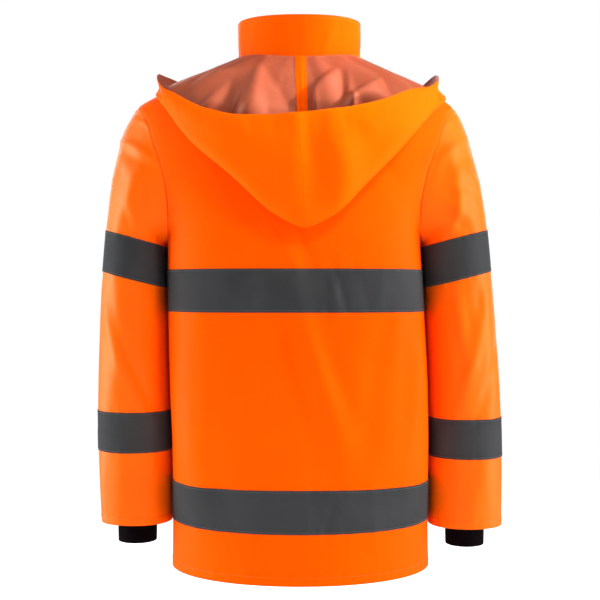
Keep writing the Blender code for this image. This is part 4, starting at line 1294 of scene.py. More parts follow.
# -------------------- hood
@dataclass
class Hood:
    """Two hood panels hanging inside out down the back, and the tape on their centre seam.

    Across is the station round the hood, 10 at the centre seam. Down is the share of the way
    from the neck seam over the bottom of the pouch to the rim. The tents are by metres to the
    right, seen from behind, and by height.
    """

    torso: Torso
    collar: Collar
    finishes: Finishes
    cloth: float = 0.0015
    lift: float = 0.0026
    neck_gap: float = 0.0008
    clear: float = 0.0045
    layer_gap: float = 0.005  # between the two layers where both lie on the shoulders
    ridge: float = 1.2
    centre: float = 10.0
    tip_station: float = 6.0  # the rim's two corners, from the centre
    tip_round: float = 0.28  # each corner's top is this far to its front
    half_seam: float = 0.00012
    first_share: float = 0.012
    tape_half: float = 0.009
    tape: float = 0.0005
    tape_stitch: float = 0.45  # its two rows of stitches, as a share of its half width
    rim_turned: float = 0.022
    columns: int = 112
    rows: int = 150
    tip_width: float = 0.8  # half the length of each corner's rise, in stations
    soft: float = 0.004  # how gently the sheet is pushed off the body
    outer_from: float = 0.66  # share of the rows that lie before the rim
    mark_before: int = 5  # rows from the bottom fold to where its normal is read
    mark_passes: int = 12  # times that the folds' marks are evened along the stations
    parted_from: float = 3.0  # stations from the centre where the layers start to part
    parted_over: float = 1.5
    rim_gathers: Gathers = Gathers(0.03, 0.0007, 0.016)
    seam_gathers: Gathers = Gathers(0.023, 0.0007, 0.014)
    sizes: Columns = field(default_factory=lambda: table(
        "angle fold_x fold_y fold_z rim_x rim_y rim_z swell turn",
        (-74.0, 0.036, -0.101, -0.076, 0.038, -0.105, -0.07, 0.0, 0.0015),
        (-56.0, 0.096, -0.108, -0.074, 0.1, -0.114, -0.06, 0.0, 0.002),
        (-36.0, 0.16, -0.09, -0.064, 0.167, -0.095, -0.042, 0.0, 0.003),
        (-14.0, 0.208, -0.036, -0.048, 0.219, -0.033, -0.019, 0.002, 0.004),
        (6.0, 0.224, 0.024, -0.042, 0.245, 0.022, -0.016, 0.003, 0.005),
        (21.0, 0.223, 0.07, -0.062, 0.227, 0.078, -0.05, 0.004, 0.006),
        (34.0, 0.211, 0.108, -0.092, 0.203, 0.123, -0.069, 0.008, 0.0075),
        (50.0, 0.169, 0.147, -0.15, 0.15, 0.168, -0.097, 0.012, 0.009),
        (66.0, 0.106, 0.168, -0.207, 0.096, 0.19, -0.111, 0.013, 0.0095),
        (80.0, 0.042, 0.174, -0.266, 0.046, 0.196, -0.112, 0.012, 0.0095),
        (90.0, -0.006, 0.175, -0.288, 0.006, 0.198, -0.1095, 0.01, 0.009),
        (100., -0.05, 0.174, -0.27, -0.034, 0.196, -0.105, 0.012, 0.0095),
        (114., -0.106, 0.168, -0.216, -0.08, 0.189, -0.098, 0.013, 0.0095),
        (130., -0.162, 0.147, -0.156, -0.126, 0.169, -0.085, 0.012, 0.009),
        (146., -0.204, 0.11, -0.102, -0.176, 0.13, -0.064, 0.008, 0.0075),
        (159., -0.219, 0.07, -0.072, -0.215, 0.07, -0.046, 0.004, 0.006),
        (174., -0.22, 0.024, -0.048, -0.235, 0.022, -0.018, 0.003, 0.005),
        (194., -0.198, -0.036, -0.05, -0.207, -0.033, -0.034, 0.002, 0.004),
        (216., -0.156, -0.09, -0.064, -0.163, -0.095, -0.043, 0.0, 0.003),
        (236., -0.096, -0.108, -0.074, -0.1, -0.114, -0.06, 0.0, 0.002),
        (254., -0.036, -0.101, -0.076, -0.038, -0.105, -0.07, 0.0, 0.0015)))
    folds: tuple[tuple[float, ...], ...] = (
        (7.3, 1.1, -0.05, 0.42, 0.48, 0.0095),
        (5.9, 0.8, -0.05, 0.42, 0.48, 0.0085),
        (6.6, 0.9, -0.05, 0.38, 0.4, -0.002),
        (8.6, 0.8, -0.05, 0.42, 0.45, 0.0065),
        (11.6, -0.3, -0.05, 0.4, 0.45, 0.008),
        (13.2, -0.6, -0.05, 0.42, 0.48, 0.0095),
        (14.4, -0.9, -0.05, 0.4, 0.45, 0.0075),
        (9.6, 0.3, 0.62, 1.1, 0.5, 0.005),
        (11.2, 0.2, 0.6, 1.05, 0.45, 0.006),
        (12.4, -0.6, 0.6, 1.05, 0.5, -0.004))
    creases: Creases = Creases((0.026, 0.46), (
        (10.3, 0.98, 10.8, 0.8, 0.006, -0.0016), (10.9, 0.99, 11.6, 0.84, 0.006, 0.0016),
        (11.9, 0.99, 12.6, 0.9, 0.005, 0.0013), (9.2, 0.98, 8.6, 0.82, 0.008, 0.0014),
        (7.9, 0.97, 8.6, 0.8, 0.008, -0.0012), (12.9, 0.98, 12.2, 0.8, 0.007, -0.0012),
        (8.8, 0.02, 9.0, 0.2, 0.006, -0.0022), (9.5, 0.03, 9.4, 0.22, 0.007, 0.0018),
        (11.0, 0.02, 10.9, 0.2, 0.007, -0.0018), (12.4, 0.02, 12.0, 0.22, 0.006, -0.0024),
        (7.9, 0.03, 8.2, 0.2, 0.006, -0.0022), (13.8, 0.05, 13.2, 0.24, 0.006, -0.002),
        (5.3, 0.05, 6.0, 0.3, 0.008, -0.0016), (15.0, 0.05, 14.2, 0.26, 0.007, 0.0018)))
    tents: Tents = Tents((
        (-0.1168, -0.04, -0.1484, -0.0897, 0.018, 0.04, 0.025),
        (-0.0664, -0.006, -0.0846, -0.0992, 0.024, 0.072, 0.033),
        (-0.0701, -0.07, -0.081, -0.0995, 0.008, 0.027, 0.006),
        (0.0718, -0.004, 0.0118, -0.0878, 0.022, 0.054, 0.031),
        (0.0752, -0.004, 0.0796, -0.0862, 0.014, 0.014, 0.015),
        (0.1337, -0.034, 0.0926, -0.0759, 0.026, 0.06, 0.026),
        (0.142, -0.044, 0.1585, -0.071, 0.012, 0.014, 0.005)))

    def controls(self, station: Array) -> Array:
        """Control points of the hood's sections, from the neck seam to the rim.

        Args:
            station: places round the hood.

        Returns:
            Points by control row, station and xyz.
        """
        spots = np.arange(len(self.sizes["angle"]), dtype=float)

        def at(name: str) -> Array:
            """One of the hood's sizes at the stations."""
            return smooth(station, spots, self.sizes[name])

        angle = np.radians(at("angle"))
        outward = np.stack([np.cos(angle), np.sin(angle), 0 * angle], axis=-1)
        neck = self.collar.point(angle, self.lift / self.collar.height + 0 * angle)
        neck = neck + outward * self.neck_gap
        fold = np.stack([at("fold_x"), at("fold_y"), at("fold_z")], axis=-1)
        from_tips = [station - self.centre + side * self.tip_station for side in (1, -1)]
        ahead = bell(from_tips[0], self.tip_width) - bell(from_tips[1], self.tip_width)
        rim_z = smooth(station + self.tip_round * ahead, spots, self.sizes["rim_z"])
        rim = np.stack([at("rim_x"), at("rim_y"), rim_z], axis=-1)
        away = fold * (1, 1, 0)
        away = away / np.linalg.norm(away, axis=1, keepdims=True)
        turn, swell = at("turn")[:, None], at("swell")[:, None]
        inner = [neck] + [neck + share * (fold - neck) for share in (0.12, 0.3, 0.5, 0.7, 0.86)]
        bottom = [fold - away * turn, fold + away * turn]
        outer = [fold + share * (rim - fold) + away * (turn * (1 - share) + swell)
                 for share in (0.18, 0.45, 0.75)]
        return np.stack(inner + bottom + outer + [rim], axis=0)

    def bspline(self, controls: Array, t: Array) -> Array:
        """Clamped uniform cubic B-spline, by the Cox-de Boor formula.

        Args:
            controls: control points.
            t: shares of the way along.

        Returns:
            Points by share, station and xyz.
        """
        count = len(controls)
        knots = np.concatenate([[0] * 3, np.arange(count - 2), [count - 3] * 3]).astype(float)
        t = np.clip(t * (count - 3), 0, count - 3 - 1e-9)
        weight = np.array([(t >= a) & (t < b) for a, b in zip(knots[:-1], knots[1:])], dtype=float)
        for degree in (1, 2, 3):
            fresh = []
            for i in range(len(weight) - 1):
                low = knots[i + degree] - knots[i]
                high = knots[i + degree + 1] - knots[i + 1]
                part = (t - knots[i]) / low * weight[i] if low else 0 * t
                part = part + ((knots[i + degree + 1] - t) / high * weight[i + 1] if high else 0)
                fresh.append(part)
            weight = np.array(fresh)
        return np.einsum("kt,ksx->tsx", weight, controls)

    def clear_of_body(self, points: Array, gap: Array) -> Array:
        """Points pushed out from the body's axis by s log(1 + e^(short/s)), where s is soft.

        Args:
            points: the sheet.
            gap: the least distance from the body.

        Returns:
            The points.
        """
        angle = np.arctan2(points[..., 1], points[..., 0])
        height = points[..., 2]
        for _ in range(6):
            height = points[..., 2] - self.torso.drop(angle, height)
        short = self.torso.radius(angle, height) + gap - np.hypot(points[..., 0], points[..., 1])
        push = self.soft * np.logaddexp(0, short / self.soft)
        return points + np.stack([push * np.cos(angle), push * np.sin(angle), 0 * push], axis=-1)

    def point(self, stations: Array, t: Array) -> Array:
        """The hood's sheet, outer face of the cloth: rows from neck to rim, columns by station.

        Args:
            stations: places round the hood.
            t: shares from neck to rim.

        Returns:
            The points.
        """
        points = self.bspline(self.controls(stations), t)
        share = t[:, None]
        ridge = points[..., 0] ** 2 / (points[..., 0] ** 2 + points[..., 1] ** 2)
        gap = self.clear * ease(share / 0.12) * (1 + self.ridge * ridge)
        cleared = self.clear_of_body(points, gap)
        points = points + (cleared - points) * ease(share / self.first_share)[..., None]
        away = points * (1, 1, 0)
        away = away / np.linalg.norm(away, axis=-1, keepdims=True)
        return points + soft_folds(stations[None, :], share, self.folds)[..., None] * away

    def parted(self, points: Array, stations: Array, out: float) -> Array:
        """The sheet with its outer layer off the inner one wherever both lie on the shoulders.

        Past the bottom fold the gap opens as a half circle does: sqrt(1 - (1 - s / r)^2).

        Args:
            points: the sheet.
            stations: its columns' stations.
            out: 1 or -1, as in Patch.

        Returns:
            The points.
        """
        run, columns = run_length(points, 0), np.arange(len(stations))
        before_rim = points[:round(self.rows * self.outer_from)]
        tip = np.argmax(np.linalg.norm(before_rim - points[:1], axis=2), axis=0)
        outward = -Patch(points, out).normals[tip - self.mark_before, columns]
        marks = np.concatenate([run[tip, columns][:, None], outward], axis=1)
        for _ in range(self.mark_passes):
            marks = evened(marks, 0)
        past = np.clip((run - marks[:, 0]) / (self.layer_gap / 2), 0, 1)
        aside = ease((np.abs(stations - self.centre) - self.parted_from) / self.parted_over)
        opened = self.layer_gap * np.sqrt(1 - (1 - past) ** 2) * aside
        return points + opened[..., None] * marks[:, 1:]

    def panel(self, side: Side) -> Patch:
        """One hood panel, columns from the centre seam to its front end.

        Args:
            side: the wearer's left or right.

        Returns:
            The panel.
        """
        share = np.linspace(0, 1, self.columns + 1)
        share = np.unique(np.concatenate([share, [0.004, 0.008]]))
        stations = self.centre - side.value * self.centre * share
        t = np.linspace(0, 1, self.rows + 1)
        out = -float(side.value)
        plain = Patch(self.parted(self.point(stations, t), stations, out), out)
        off, down = run_length(plain.points, 1), run_length(plain.points, 0)
        rise = -self.creases.height(stations[None, :], t[:, None]) * np.where(t < 0.55, 1, -1)[:, None]
        inside = ease((0.46 - t[:, None]) / 0.14) * ease(plain.points[..., 1] / 0.03)
        inside = inside * ease((off - 0.01) / 0.016)
        tents = inside * self.tents.height(-plain.points[..., 0], plain.points[..., 2])
        rise = rise - evened(evened(tents, 0), 1) + 0.0002 * bell(off, 0.005)
        to_rim = down[-1:] - down
        rise = rise + self.rim_gathers.height(off + 0.1, to_rim - self.rim_turned)
        rise = rise + self.seam_gathers.height(to_rim, off)
        points = plain.points + plain.normals * rise[..., None]
        points[:, 0, 0] += side.value * self.half_seam
        return Patch(points, out)

    def build(self) -> None:
        """Makes both panels, the seam tape and the stitching."""
        panels = {side: self.panel(side) for side in Side}
        thread = Thread("hood_stitching", self.finishes.thread)
        for side, patch in panels.items():
            # the hood's outer face takes the orange painted lighter, which is painted light
            add_cloth(f"hood_{side.word}_cloth", patch, self.cloth,
                      (self.finishes.hood_out, self.finishes.reverse),
                      Sewn("hood_cloth", (f"hood_{side.word}",)))
        self.seam_tape(panels[Side.LEFT], panels[Side.RIGHT], thread)
        thread.build()

    def seam_tape(self, left: Patch, right: Patch, thread: Thread) -> None:
        """Tape over the centre seam on the hood's inside, with two rows of stitches.

        Each of its rows is a straight line across the seam, lifted off the cloth's inner face.

        Args:
            left: the left panel.
            right: the right panel.
            thread: takes the stitches.
        """
        last = left.points.shape[0] - 1
        rows = np.arange(last + 1, dtype=float)
        ends = [patch.at(rows, patch.inset(self.tape_half, within=16)) for patch in (left, right)]
        across = ends[1][0] - ends[0][0]
        across = across / np.linalg.norm(across, axis=1, keepdims=True)
        middle = (left.points[:, 0] + right.points[:, 0]) / 2
        inward = -(ends[0][1] + ends[1][1])
        inward = inward - (inward * across).sum(axis=1, keepdims=True) * across
        inward = inward / np.linalg.norm(inward, axis=1, keepdims=True)
        spread = np.linspace(-1, 1, 25)[None, :, None]
        strip = middle[:, None] + across[:, None] * spread * self.tape_half
        lift = self.cloth + 0.0006 + self.tape + 0.001 * (1 - np.abs(spread))
        lift = lift - 0.0006 * bell(np.abs(spread) - self.tape_stitch, 0.1)
        patch = Patch((strip + inward[:, None] * lift)[:-1], 1.0)
        add_cloth("hood_seam_tape_band", patch, self.tape, (self.finishes.shell,),
                  Sewn("orange_shell", ("hood_seam_tape",)))
        down = np.linspace(0, last - 2, 500)
        for side in (-1, 1):
            thread.row(*patch.at(down, 12 + side * 12 * self.tape_stitch + 0 * down))


# -------------------- zip
@dataclass
class Zip:
    """Front zip: two woven tapes and a closed chain of moulded teeth."""

    torso: Torso
    collar: Collar
    finishes: Finishes
    short: float = 0.003
    sunk: float = 0.0004
    cloth: float = 0.0012
    pitch: float = 0.0026
    tooth: tuple[float, float] = (0.0019, 0.00082)  # half its length and half its width
    tooth_side: float = 0.001  # its middle, across from the centre
    shrink: tuple[float, ...] = (1.0, 1.0, 0.72)  # a tooth's rings, from the tape outwards
    stand: tuple[float, ...] = (-0.0008, 0.0007, 0.0013)
    profile: tuple[tuple[float, float], ...] = (  # across from the centre, and how deep
        (0.0003, 0.0), (0.002, 0.0), (0.0036, 0.0), (0.0044, 0.0012), (0.0047, 0.0026),
        (0.0056, 0.0034), (0.015, 0.0034))

    def line(self, across: float) -> Array:
        """The zip's line from the hem to the collar's top, at a distance across the centre.

        Args:
            across: distance from the centre.

        Returns:
            The points of the line.
        """
        rows = self.torso.rows()[::-1]
        body = self.torso.point(-math.pi / 2 + across / self.torso.size("front", rows), rows)
        angle = np.array(-math.pi / 2 + across / self.torso.sizes["front"][0])
        neck = np.array([self.collar.point(angle, np.array(s)) for s in np.linspace(0, 1, 13)])
        line = np.concatenate([body, neck[1:]])
        line[0, 2] += self.short
        line[-1, 2] -= self.short
        line[:, 1] += self.sunk
        return line

    def build(self) -> None:
        """Makes the tapes and the teeth, and finishes the slider and the pull."""
        for side in Side:
            columns = [self.line(side.value * across) + (0, deep, 0) for across, deep in self.profile]
            patch = Patch(np.stack(columns, axis=1)[::-1], float(side.value))
            add_cloth(f"zip_tape_{side.word}_weave", patch, self.cloth, (self.finishes.zip_cloth,),
                      Sewn("zip_cloth", (f"zip_tape_{side.word}",)))
        self.teeth()
        for node in ("zip_slider", "zip_pull"):
            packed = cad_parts[node]
            packed.data.materials.clear()
            packed.data.materials.append(self.finishes.metal)

    def teeth(self) -> None:
        """Moulded teeth: eight-sided lozenges, one side's between the other side's.

        Ring k of a tooth is its outline in the zip's plane, times shrink k, set out by stand k.
        """
        line = self.line(0.0)[::-1]
        far = run_length(line, 0)
        spots = np.arange(self.pitch, far[-1] - self.pitch, self.pitch / 2)
        middle = np.stack([np.interp(spots, far, line[:, k]) for k in range(3)], axis=-1)
        along = np.gradient(middle, axis=0)
        along /= np.linalg.norm(along, axis=1, keepdims=True)
        across = np.array([1.0, 0.0, 0.0]) + 0 * middle
        out = np.cross(across, along)
        out *= -np.sign(out[:, 1:2])
        side = np.where(np.arange(len(spots)) % 2 == 0, 1.0, -1.0)[:, None]
        turn = 2 * math.pi * (np.arange(8) + 0.5) / 8
        outline = np.stack([np.cos(turn), np.sin(turn)], axis=-1) * self.tooth
        shrink, stand = np.array(self.shrink)[:, None], np.array(self.stand)
        rings = ((middle + across * side * self.tooth_side)[:, None, None]
                 + across[:, None, None] * (outline[:, 0] * shrink)[None, ..., None]
                 + along[:, None, None] * (outline[:, 1] * shrink)[None, ..., None]
                 + out[:, None, None] * stand[None, :, None, None])
        Thread("zip_teeth", self.finishes.teeth, "zip_cloth", rings=[rings]).build()


# -------------------- finishes
class Recipe:
    """Node tree of one material, with short ways to add and join its nodes."""

    def __init__(self, name: str, colour: tuple[float, float, float], roughness: float) -> None:
        """Makes the material with its colour and roughness.

        Args:
            name: the material's name.
            colour: linear red, green and blue.
            roughness: 0 to 1.
        """
        self.material = bpy.data.materials.new(name)
        self.material.use_nodes = True
        self.tree = self.material.node_tree
        self.shader = self.tree.nodes["Principled BSDF"]
        self.put("Base Color", (*colour, 1))
        self.put("Roughness", roughness)
        coordinates = self.tree.nodes.new("ShaderNodeTexCoord")
        self.place, self.uv = coordinates.outputs["Object"], coordinates.outputs["UV"]

    def give(self, socket: bpy.types.NodeSocket, value: object) -> None:
        """Links a socket to another, or sets its value.

        Args:
            socket: the input.
            value: an output, or a plain value.
        """
        if isinstance(value, bpy.types.NodeSocket):
            self.tree.links.new(value, socket)
        else:
            socket.default_value = value

    def put(self, name: str, value: object) -> None:
        """Gives one of the shader's inputs a value or a link."""
        self.give(self.shader.inputs[name], value)

    def maths(self, operation: str, a: object, b: object = 0.0) -> bpy.types.NodeSocket:
        """Result of a Math node.

        Args:
            operation: Blender's name for it.
            a: first number or output.
            b: the second.

        Returns:
            The node's output.
        """
        node = self.tree.nodes.new("ShaderNodeMath")
        node.operation = operation
        for socket, value in zip(node.inputs, (a, b)):
            self.give(socket, value)
        return node.outputs[0]

    def noise(self, vector: bpy.types.NodeSocket, scale: float, detail: float = 2.0,
              distortion: float = 0.0) -> bpy.types.NodeSocket:
        """Noise between 0 and 1 on a vector.

        Args:
            vector: where it is read.
            scale: how fine it is.
            detail: number of finer layers.
            distortion: how much it is warped.

        Returns:
            The noise's output.
        """
        node = self.tree.nodes.new("ShaderNodeTexNoise")
        for name, value in (("Vector", vector), ("Scale", scale), ("Detail", detail),
                            ("Distortion", distortion)):
            self.give(node.inputs[name], value)
        return node.outputs["Fac"]

    def remap(self, value: bpy.types.NodeSocket, low: float, high: float,
              to_low: float, to_high: float) -> bpy.types.NodeSocket:
        """Value carried linearly from one span to another, clamped.

        Args:
            value: an output.
            low: start of its span.
            high: end of its span.
            to_low: what low becomes.
            to_high: what high becomes.

        Returns:
            The node's output.
        """
        node = self.tree.nodes.new("ShaderNodeMapRange")
        for socket, number in zip(node.inputs, (value, low, high, to_low, to_high)):
            self.give(socket, number)
        return node.outputs["Result"]

    def mix(self, share: object, first: object, second: object) -> bpy.types.NodeSocket:
        """Two colours mixed by a share.

        Args:
            share: share of the second.
            first: colour or output.
            second: colour or output.

        Returns:
            The mixed colour's output.
        """
        node = self.tree.nodes.new("ShaderNodeMix")
        node.data_type = "RGBA"
        self.give(node.inputs["Factor"], share)
        for name, colour in (("A", first), ("B", second)):
            colour = (*colour, 1) if isinstance(colour, tuple) else colour
            sockets = [s for s in node.inputs if s.name == name and s.type == "RGBA"]
            self.give(sockets[0], colour)
        return [s for s in node.outputs if s.type == "RGBA"][0]

    def bump(self, height: bpy.types.NodeSocket, distance: float, strength: float = 1.0) -> None:
        """Adds a bump under any bump that the shader already has.

        Args:
            height: the height's output.
            distance: metres for a height of 1.
            strength: 0 to 1.
        """
        node = self.tree.nodes.new("ShaderNodeBump")
        for name, value in (("Height", height), ("Distance", distance), ("Strength", strength)):
            self.give(node.inputs[name], value)
        normal = self.shader.inputs["Normal"]
        if normal.links:
            self.give(node.inputs["Normal"], normal.links[0].from_socket)
        self.give(normal, node.outputs["Normal"])

    def stripes(self, axis: str, pitch: float) -> bpy.types.NodeSocket:
        """sin(2 pi x / pitch) on one axis of the UV map, whose unit is a metre of cloth.

        Args:
            axis: X or Y.
            pitch: metres from one stripe to the next.

        Returns:
            The stripes' output.
        """
        split = self.tree.nodes.new("ShaderNodeSeparateXYZ")
        self.give(split.inputs[0], self.uv)
        return self.maths("SINE", self.maths("MULTIPLY", split.outputs[axis], 2 * math.pi / pitch))

    def weave(self, pitch: float) -> bpy.types.NodeSocket:
        """Plain weave: the product of the stripes both ways."""
        return self.maths("MULTIPLY", self.stripes("X", pitch), self.stripes("Y", pitch))


@dataclass(frozen=True)
class CoatedCloth:
    """Coated woven polyester: even fluorescent colour, satin gloss, faint crumple and weave."""

    name: str
    colour: tuple[float, float, float]
    deeper: tuple[float, float, float]
    roughness: float = 0.52
    gloss: float = 0.03
    tint: tuple[float, float, float] = (1.0, 0.42, 0.02)
    crumple: float = 0.0012
    weave_depth: float = 0.00003
    pitch: float = 0.0009

    def build(self) -> bpy.types.Material:
        """Makes the material.

        Returns:
            The material.
        """
        recipe = Recipe(self.name, self.colour, self.roughness)
        patches = recipe.noise(recipe.place, 5.0, 3.0)
        colour = recipe.mix(recipe.remap(patches, 0.35, 0.65, 0.0, 1.0), self.colour, self.deeper)
        recipe.put("Base Color", colour)
        grain = recipe.noise(recipe.place, 160.0, 3.0)
        rough = recipe.remap(grain, 0.3, 0.7, self.roughness - 0.05, self.roughness + 0.06)
        recipe.put("Roughness", rough)
        recipe.bump(recipe.noise(recipe.place, 34.0, 3.0, 0.6), self.crumple, 0.55)
        recipe.bump(recipe.noise(recipe.place, 150.0, 2.0, 0.3), self.crumple * 0.12, 0.6)
        recipe.bump(recipe.weave(self.pitch), self.weave_depth, 0.5)
        recipe.put("Specular IOR Level", self.gloss)
        recipe.put("Specular Tint", (*self.tint, 1))
        return recipe.material


@dataclass(frozen=True)
class ReflectiveTape:
    """Glass-bead tape: dark grey, a fine grain of beads, worn patches and a faint crumple."""

    name: str = "reflective_tape_finish"
    colour: tuple[float, float, float] = (0.031, 0.0318, 0.033)
    lighter: tuple[float, float, float] = (0.05, 0.0508, 0.0525)

    def build(self) -> bpy.types.Material:
        """Makes the material.

        Returns:
            The material.
        """
        recipe = Recipe(self.name, self.colour, 0.7)
        beads = recipe.noise(recipe.place, 1800.0, 2.0)
        worn = recipe.noise(recipe.place, 9.0, 4.0, 0.8)
        share = recipe.maths("ADD", recipe.remap(beads, 0.3, 0.7, 0.0, 0.5),
                             recipe.remap(worn, 0.35, 0.7, 0.0, 0.5))
        recipe.put("Base Color", recipe.mix(share, self.colour, self.lighter))
        recipe.put("Roughness", recipe.remap(worn, 0.3, 0.7, 0.6, 0.75))
        recipe.bump(recipe.noise(recipe.place, 60.0, 3.0, 1.0), 0.0006, 0.5)
        recipe.bump(beads, 0.00006, 0.4)
        recipe.put("Specular IOR Level", 0.02)
        return recipe.material


@dataclass(frozen=True)
class Knit:
    """Rib knit: rows of small loops, matt, with a soft nap and painted highlight on the loops' crests."""

    name: str = "black_knit_finish"
    colour: tuple[float, float, float] = (0.0022, 0.001, 0.0015)
    loop: float = 0.0016

    def build(self) -> bpy.types.Material:
        """Makes the material.

        Returns:
            The material.
        """
        recipe = Recipe(self.name, self.colour, 0.9)
        down, across = recipe.stripes("Y", self.loop), recipe.stripes("X", self.loop * 1.15)
        loops = recipe.maths("MULTIPLY", down, across)
        # painted highlight: the loops' crests, where their bump rises, are painted up to 2.2 times lighter
        shade = recipe.remap(loops, -1.0, 1.0, 0.0, 1.0)
        lighter = tuple(c * 2.2 for c in self.colour)
        recipe.put("Base Color", recipe.mix(shade, self.colour, lighter))
        recipe.bump(loops, 0.00035, 0.8)
        recipe.bump(recipe.noise(recipe.place, 2500.0, 2.0), 0.0001, 0.5)
        recipe.put("Specular IOR Level", 0.04)
        return recipe.material


@dataclass(frozen=True)
class Plain:
    """Thread, zip cloth, moulded plastic or metal, with a fine grain."""

    name: str
    colour: tuple[float, float, float]
    roughness: float
    grain: float = 900.0
    depth: float = 0.00006
    metallic: float = 0.0

    def build(self) -> bpy.types.Material:
        """Makes the material.

        Returns:
            The material.
        """
        recipe = Recipe(self.name, self.colour, self.roughness)
        recipe.put("Metallic", self.metallic)
        grain = recipe.noise(recipe.place, self.grain, 3.0)
        darker = tuple(c * 0.75 for c in self.colour)
        share = recipe.remap(grain, 0.3, 0.7, 0.0, 1.0)
        recipe.put("Base Color", recipe.mix(share, darker, self.colour))
        recipe.bump(grain, self.depth, 0.5)
        return recipe.material


def make_finishes() -> Finishes:
    """Builds every finish once.

    Returns:
        The finishes.
    """
    orange, deeper = (1.0, 0.094, 0.0003), (1.0, 0.084, 0.0002)
    return Finishes(
        shell=CoatedCloth("orange_shell_finish", orange, deeper).build(),
        # the sleeves' orange is the shell's painted lighter: painted light standing for the side light on
        # the sleeves
        sleeve=CoatedCloth("orange_sleeve_finish", (1.0, 0.126, 0.0006), (1.0, 0.113, 0.0005),
                           roughness=0.5, gloss=0.24, tint=(1.0, 0.75, 0.3)).build(),
        reverse=CoatedCloth("coated_reverse_finish", (0.37, 0.082, 0.039), (0.28, 0.056, 0.023),
                            roughness=0.44, gloss=0.45, tint=(1.0, 0.7, 0.55),
                            crumple=0.001).build(),
        # the hood's outside is the shell's orange painted lighter: painted light
        hood_out=CoatedCloth("hood_outside_finish", (1.0, 0.112, 0.0004),
                             (1.0, 0.1, 0.0003)).build(),
        tape=ReflectiveTape().build(),
        knit=Knit().build(),
        zip_cloth=Plain("zip_cloth_finish", (0.012, 0.012, 0.013), 0.8).build(),
        teeth=Plain("zip_teeth_finish", (0.02, 0.02, 0.022), 0.35, 300.0).build(),
        metal=Plain("zip_metal_finish", (0.16, 0.16, 0.17), 0.32, 400.0, 0.00002, 1.0).build(),
        thread=Plain("orange_thread_finish", (1.0, 0.16, 0.002), 0.55, 1500.0).build(),
        grey_thread=Plain("grey_thread_finish", (0.085, 0.086, 0.09), 0.6, 1500.0).build())


# -------------------- studio
@dataclass(frozen=True)
class Softbox:
    """A rectangular studio light aimed at a point of the jacket."""

    name: str
    place: tuple[float, float, float]
    width: float
    height: float
    power: float
    aim: tuple[float, float, float] = (0.0, 0.0, -0.42)
    mirrored: bool = True  # whether glossy cloth shows its reflection
    spread: float = 180.0  # degrees of its beam

    def build(self) -> None:
        """Adds the light, its -Z towards the aim."""
        lamp = bpy.data.lights.new(self.name, "AREA")
        lamp.shape, lamp.size, lamp.size_y, lamp.energy = "RECTANGLE", self.width, self.height, self.power
        holder = bpy.data.objects.new(self.name, lamp)
        holder.location = self.place
        holder.visible_glossy = self.mirrored
        lamp.spread = math.radians(self.spread)
        away = np.array(self.place) - np.array(self.aim)
        turn = math.atan2(away[1], away[0])
        tilt = math.acos(away[2] / float(np.linalg.norm(away)))
        holder.rotation_euler = (tilt, 0.0, turn + math.pi / 2)
        bpy.context.scene.collection.objects.link(holder)


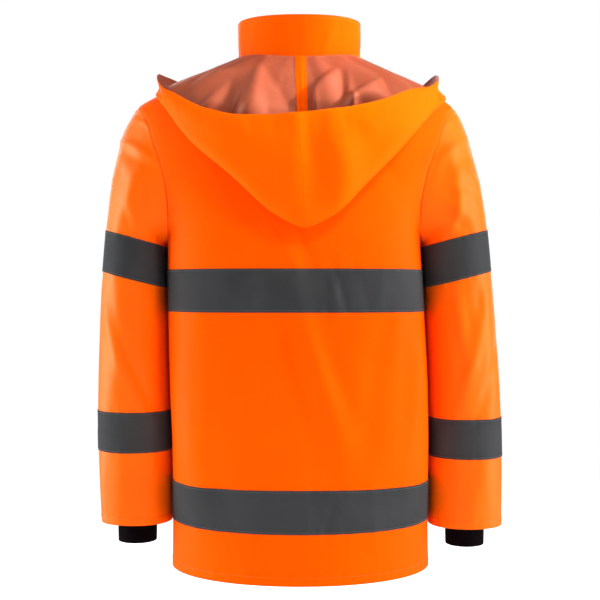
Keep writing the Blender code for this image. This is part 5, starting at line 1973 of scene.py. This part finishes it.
@dataclass(frozen=True)
class Studio:
    """Plain white studio: camera square to the back, strong soft light from both sides."""

    frame_size: float = 600.0  # the frame's side, in pixels
    focal: float = 1028.0  # focal length in the same pixels
    middle: tuple[float, float] = (300.5, 290.0)  # where the lens axis meets the frame
    camera: tuple[float, float, float] = (0.0, 1.79, -0.385)
    sensor: float = 36.0
    floor_height: float = -1.45
    floor_reach: float = 4.0  # half the floor's side
    ambient: float = 0.12

    def build(self) -> None:
        """Adds the camera, the world, the floor and the lights."""
        scene = bpy.context.scene
        scene.view_settings.view_transform = "Standard"
        lens = bpy.data.cameras.new("camera")
        lens.sensor_width, lens.lens = self.sensor, self.focal / self.frame_size * self.sensor
        half = self.frame_size / 2
        lens.shift_x = (half - self.middle[0]) / self.frame_size
        lens.shift_y = (self.middle[1] - half) / self.frame_size
        holder = bpy.data.objects.new("camera", lens)
        holder.location = self.camera
        holder.rotation_euler = (math.pi / 2, 0.0, math.pi)
        scene.collection.objects.link(holder)
        scene.camera = holder
        self.world()
        self.floor()
        for box in (Softbox("top_right", (-1.7, 0.35, 1.0), 0.22, 0.22, 0.75, (0.03, 0.13, -0.1),
                            mirrored=False, spread=15.0),
                    Softbox("high_right", (-0.9, 1.5, 1.3), 0.4, 0.4, 28.0, (0.0, 0.1, -0.2),
                            mirrored=False),
                    Softbox("high_left", (1.9, 0.35, 0.9), 0.8, 1.0, 13.0),
                    Softbox("shoulder_right", (-1.25, 0.35, 1.1), 0.8, 0.8, 9.0),
                    Softbox("side_right", (-1.95, 0.3, -0.35), 1.0, 1.6, 48.0),
                    Softbox("side_left", (1.95, -0.1, -0.35), 1.0, 1.6, 52.0),
                    Softbox("low", (0.0, 1.6, -1.2), 1.6, 0.5, 9.0, mirrored=False),
                    Softbox("back_fill", (0.0, 3.1, -0.2), 1.8, 1.8, 14.0, mirrored=False),
                    Softbox("front_key", (1.2, -2.2, 0.4), 1.1, 1.6, 26.0),
                    Softbox("front_fill", (-1.4, -2.4, 0.0), 1.1, 1.6, 16.0)):
            box.build()

    def world(self) -> None:
        """Even pale surroundings, pure white behind the jacket."""
        world = bpy.data.worlds.new("studio")
        world.use_nodes = True
        bpy.context.scene.world = world
        tree = world.node_tree
        backdrop = tree.nodes["Background"]
        backdrop.inputs["Color"].default_value = (1, 1, 1, 1)
        rays = tree.nodes.new("ShaderNodeLightPath")
        span = tree.nodes.new("ShaderNodeMapRange")
        tree.links.new(rays.outputs["Is Camera Ray"], span.inputs["Value"])
        span.inputs["To Min"].default_value = self.ambient
        span.inputs["To Max"].default_value = 1.0
        tree.links.new(span.outputs["Result"], backdrop.inputs["Strength"])

    def floor(self) -> None:
        """A plain pale floor at the height where the wearer would stand."""
        mesh, reach = bpy.data.meshes.new("floor"), self.floor_reach
        square = [(x * reach, y * reach, self.floor_height)
                  for x, y in ((-1, -1), (1, -1), (1, 1), (-1, 1))]
        mesh.from_pydata(square, [], [(0, 1, 2, 3)])
        recipe = Recipe("floor_finish", (0.8, 0.8, 0.8), 0.8)
        rays = recipe.tree.nodes.new("ShaderNodeLightPath")
        recipe.put("Emission Color", (1, 1, 1, 1))
        recipe.put("Emission Strength", rays.outputs["Is Camera Ray"])
        mesh.materials.append(recipe.material)
        floor = bpy.data.objects.new("floor", mesh)
        bpy.context.scene.collection.objects.link(floor)


def corners(box: tuple) -> list[list[float]]:
    """A box's two corners as plain lists."""
    return [[float(x) for x in corner] for corner in box]


def main() -> None:
    """Builds the jacket's sub-assemblies and the studio."""
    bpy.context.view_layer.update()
    finishes = make_finishes()
    torso = Torso()
    collar = Collar(torso, finishes)
    Body(torso, finishes).build()
    for side in Side:
        Sleeve(torso, side, finishes).build()
    collar.build()
    Hood(torso, collar, finishes).build()
    Zip(torso, collar, finishes).build()
    Studio().build()


if __name__ == "__main__":
    main()
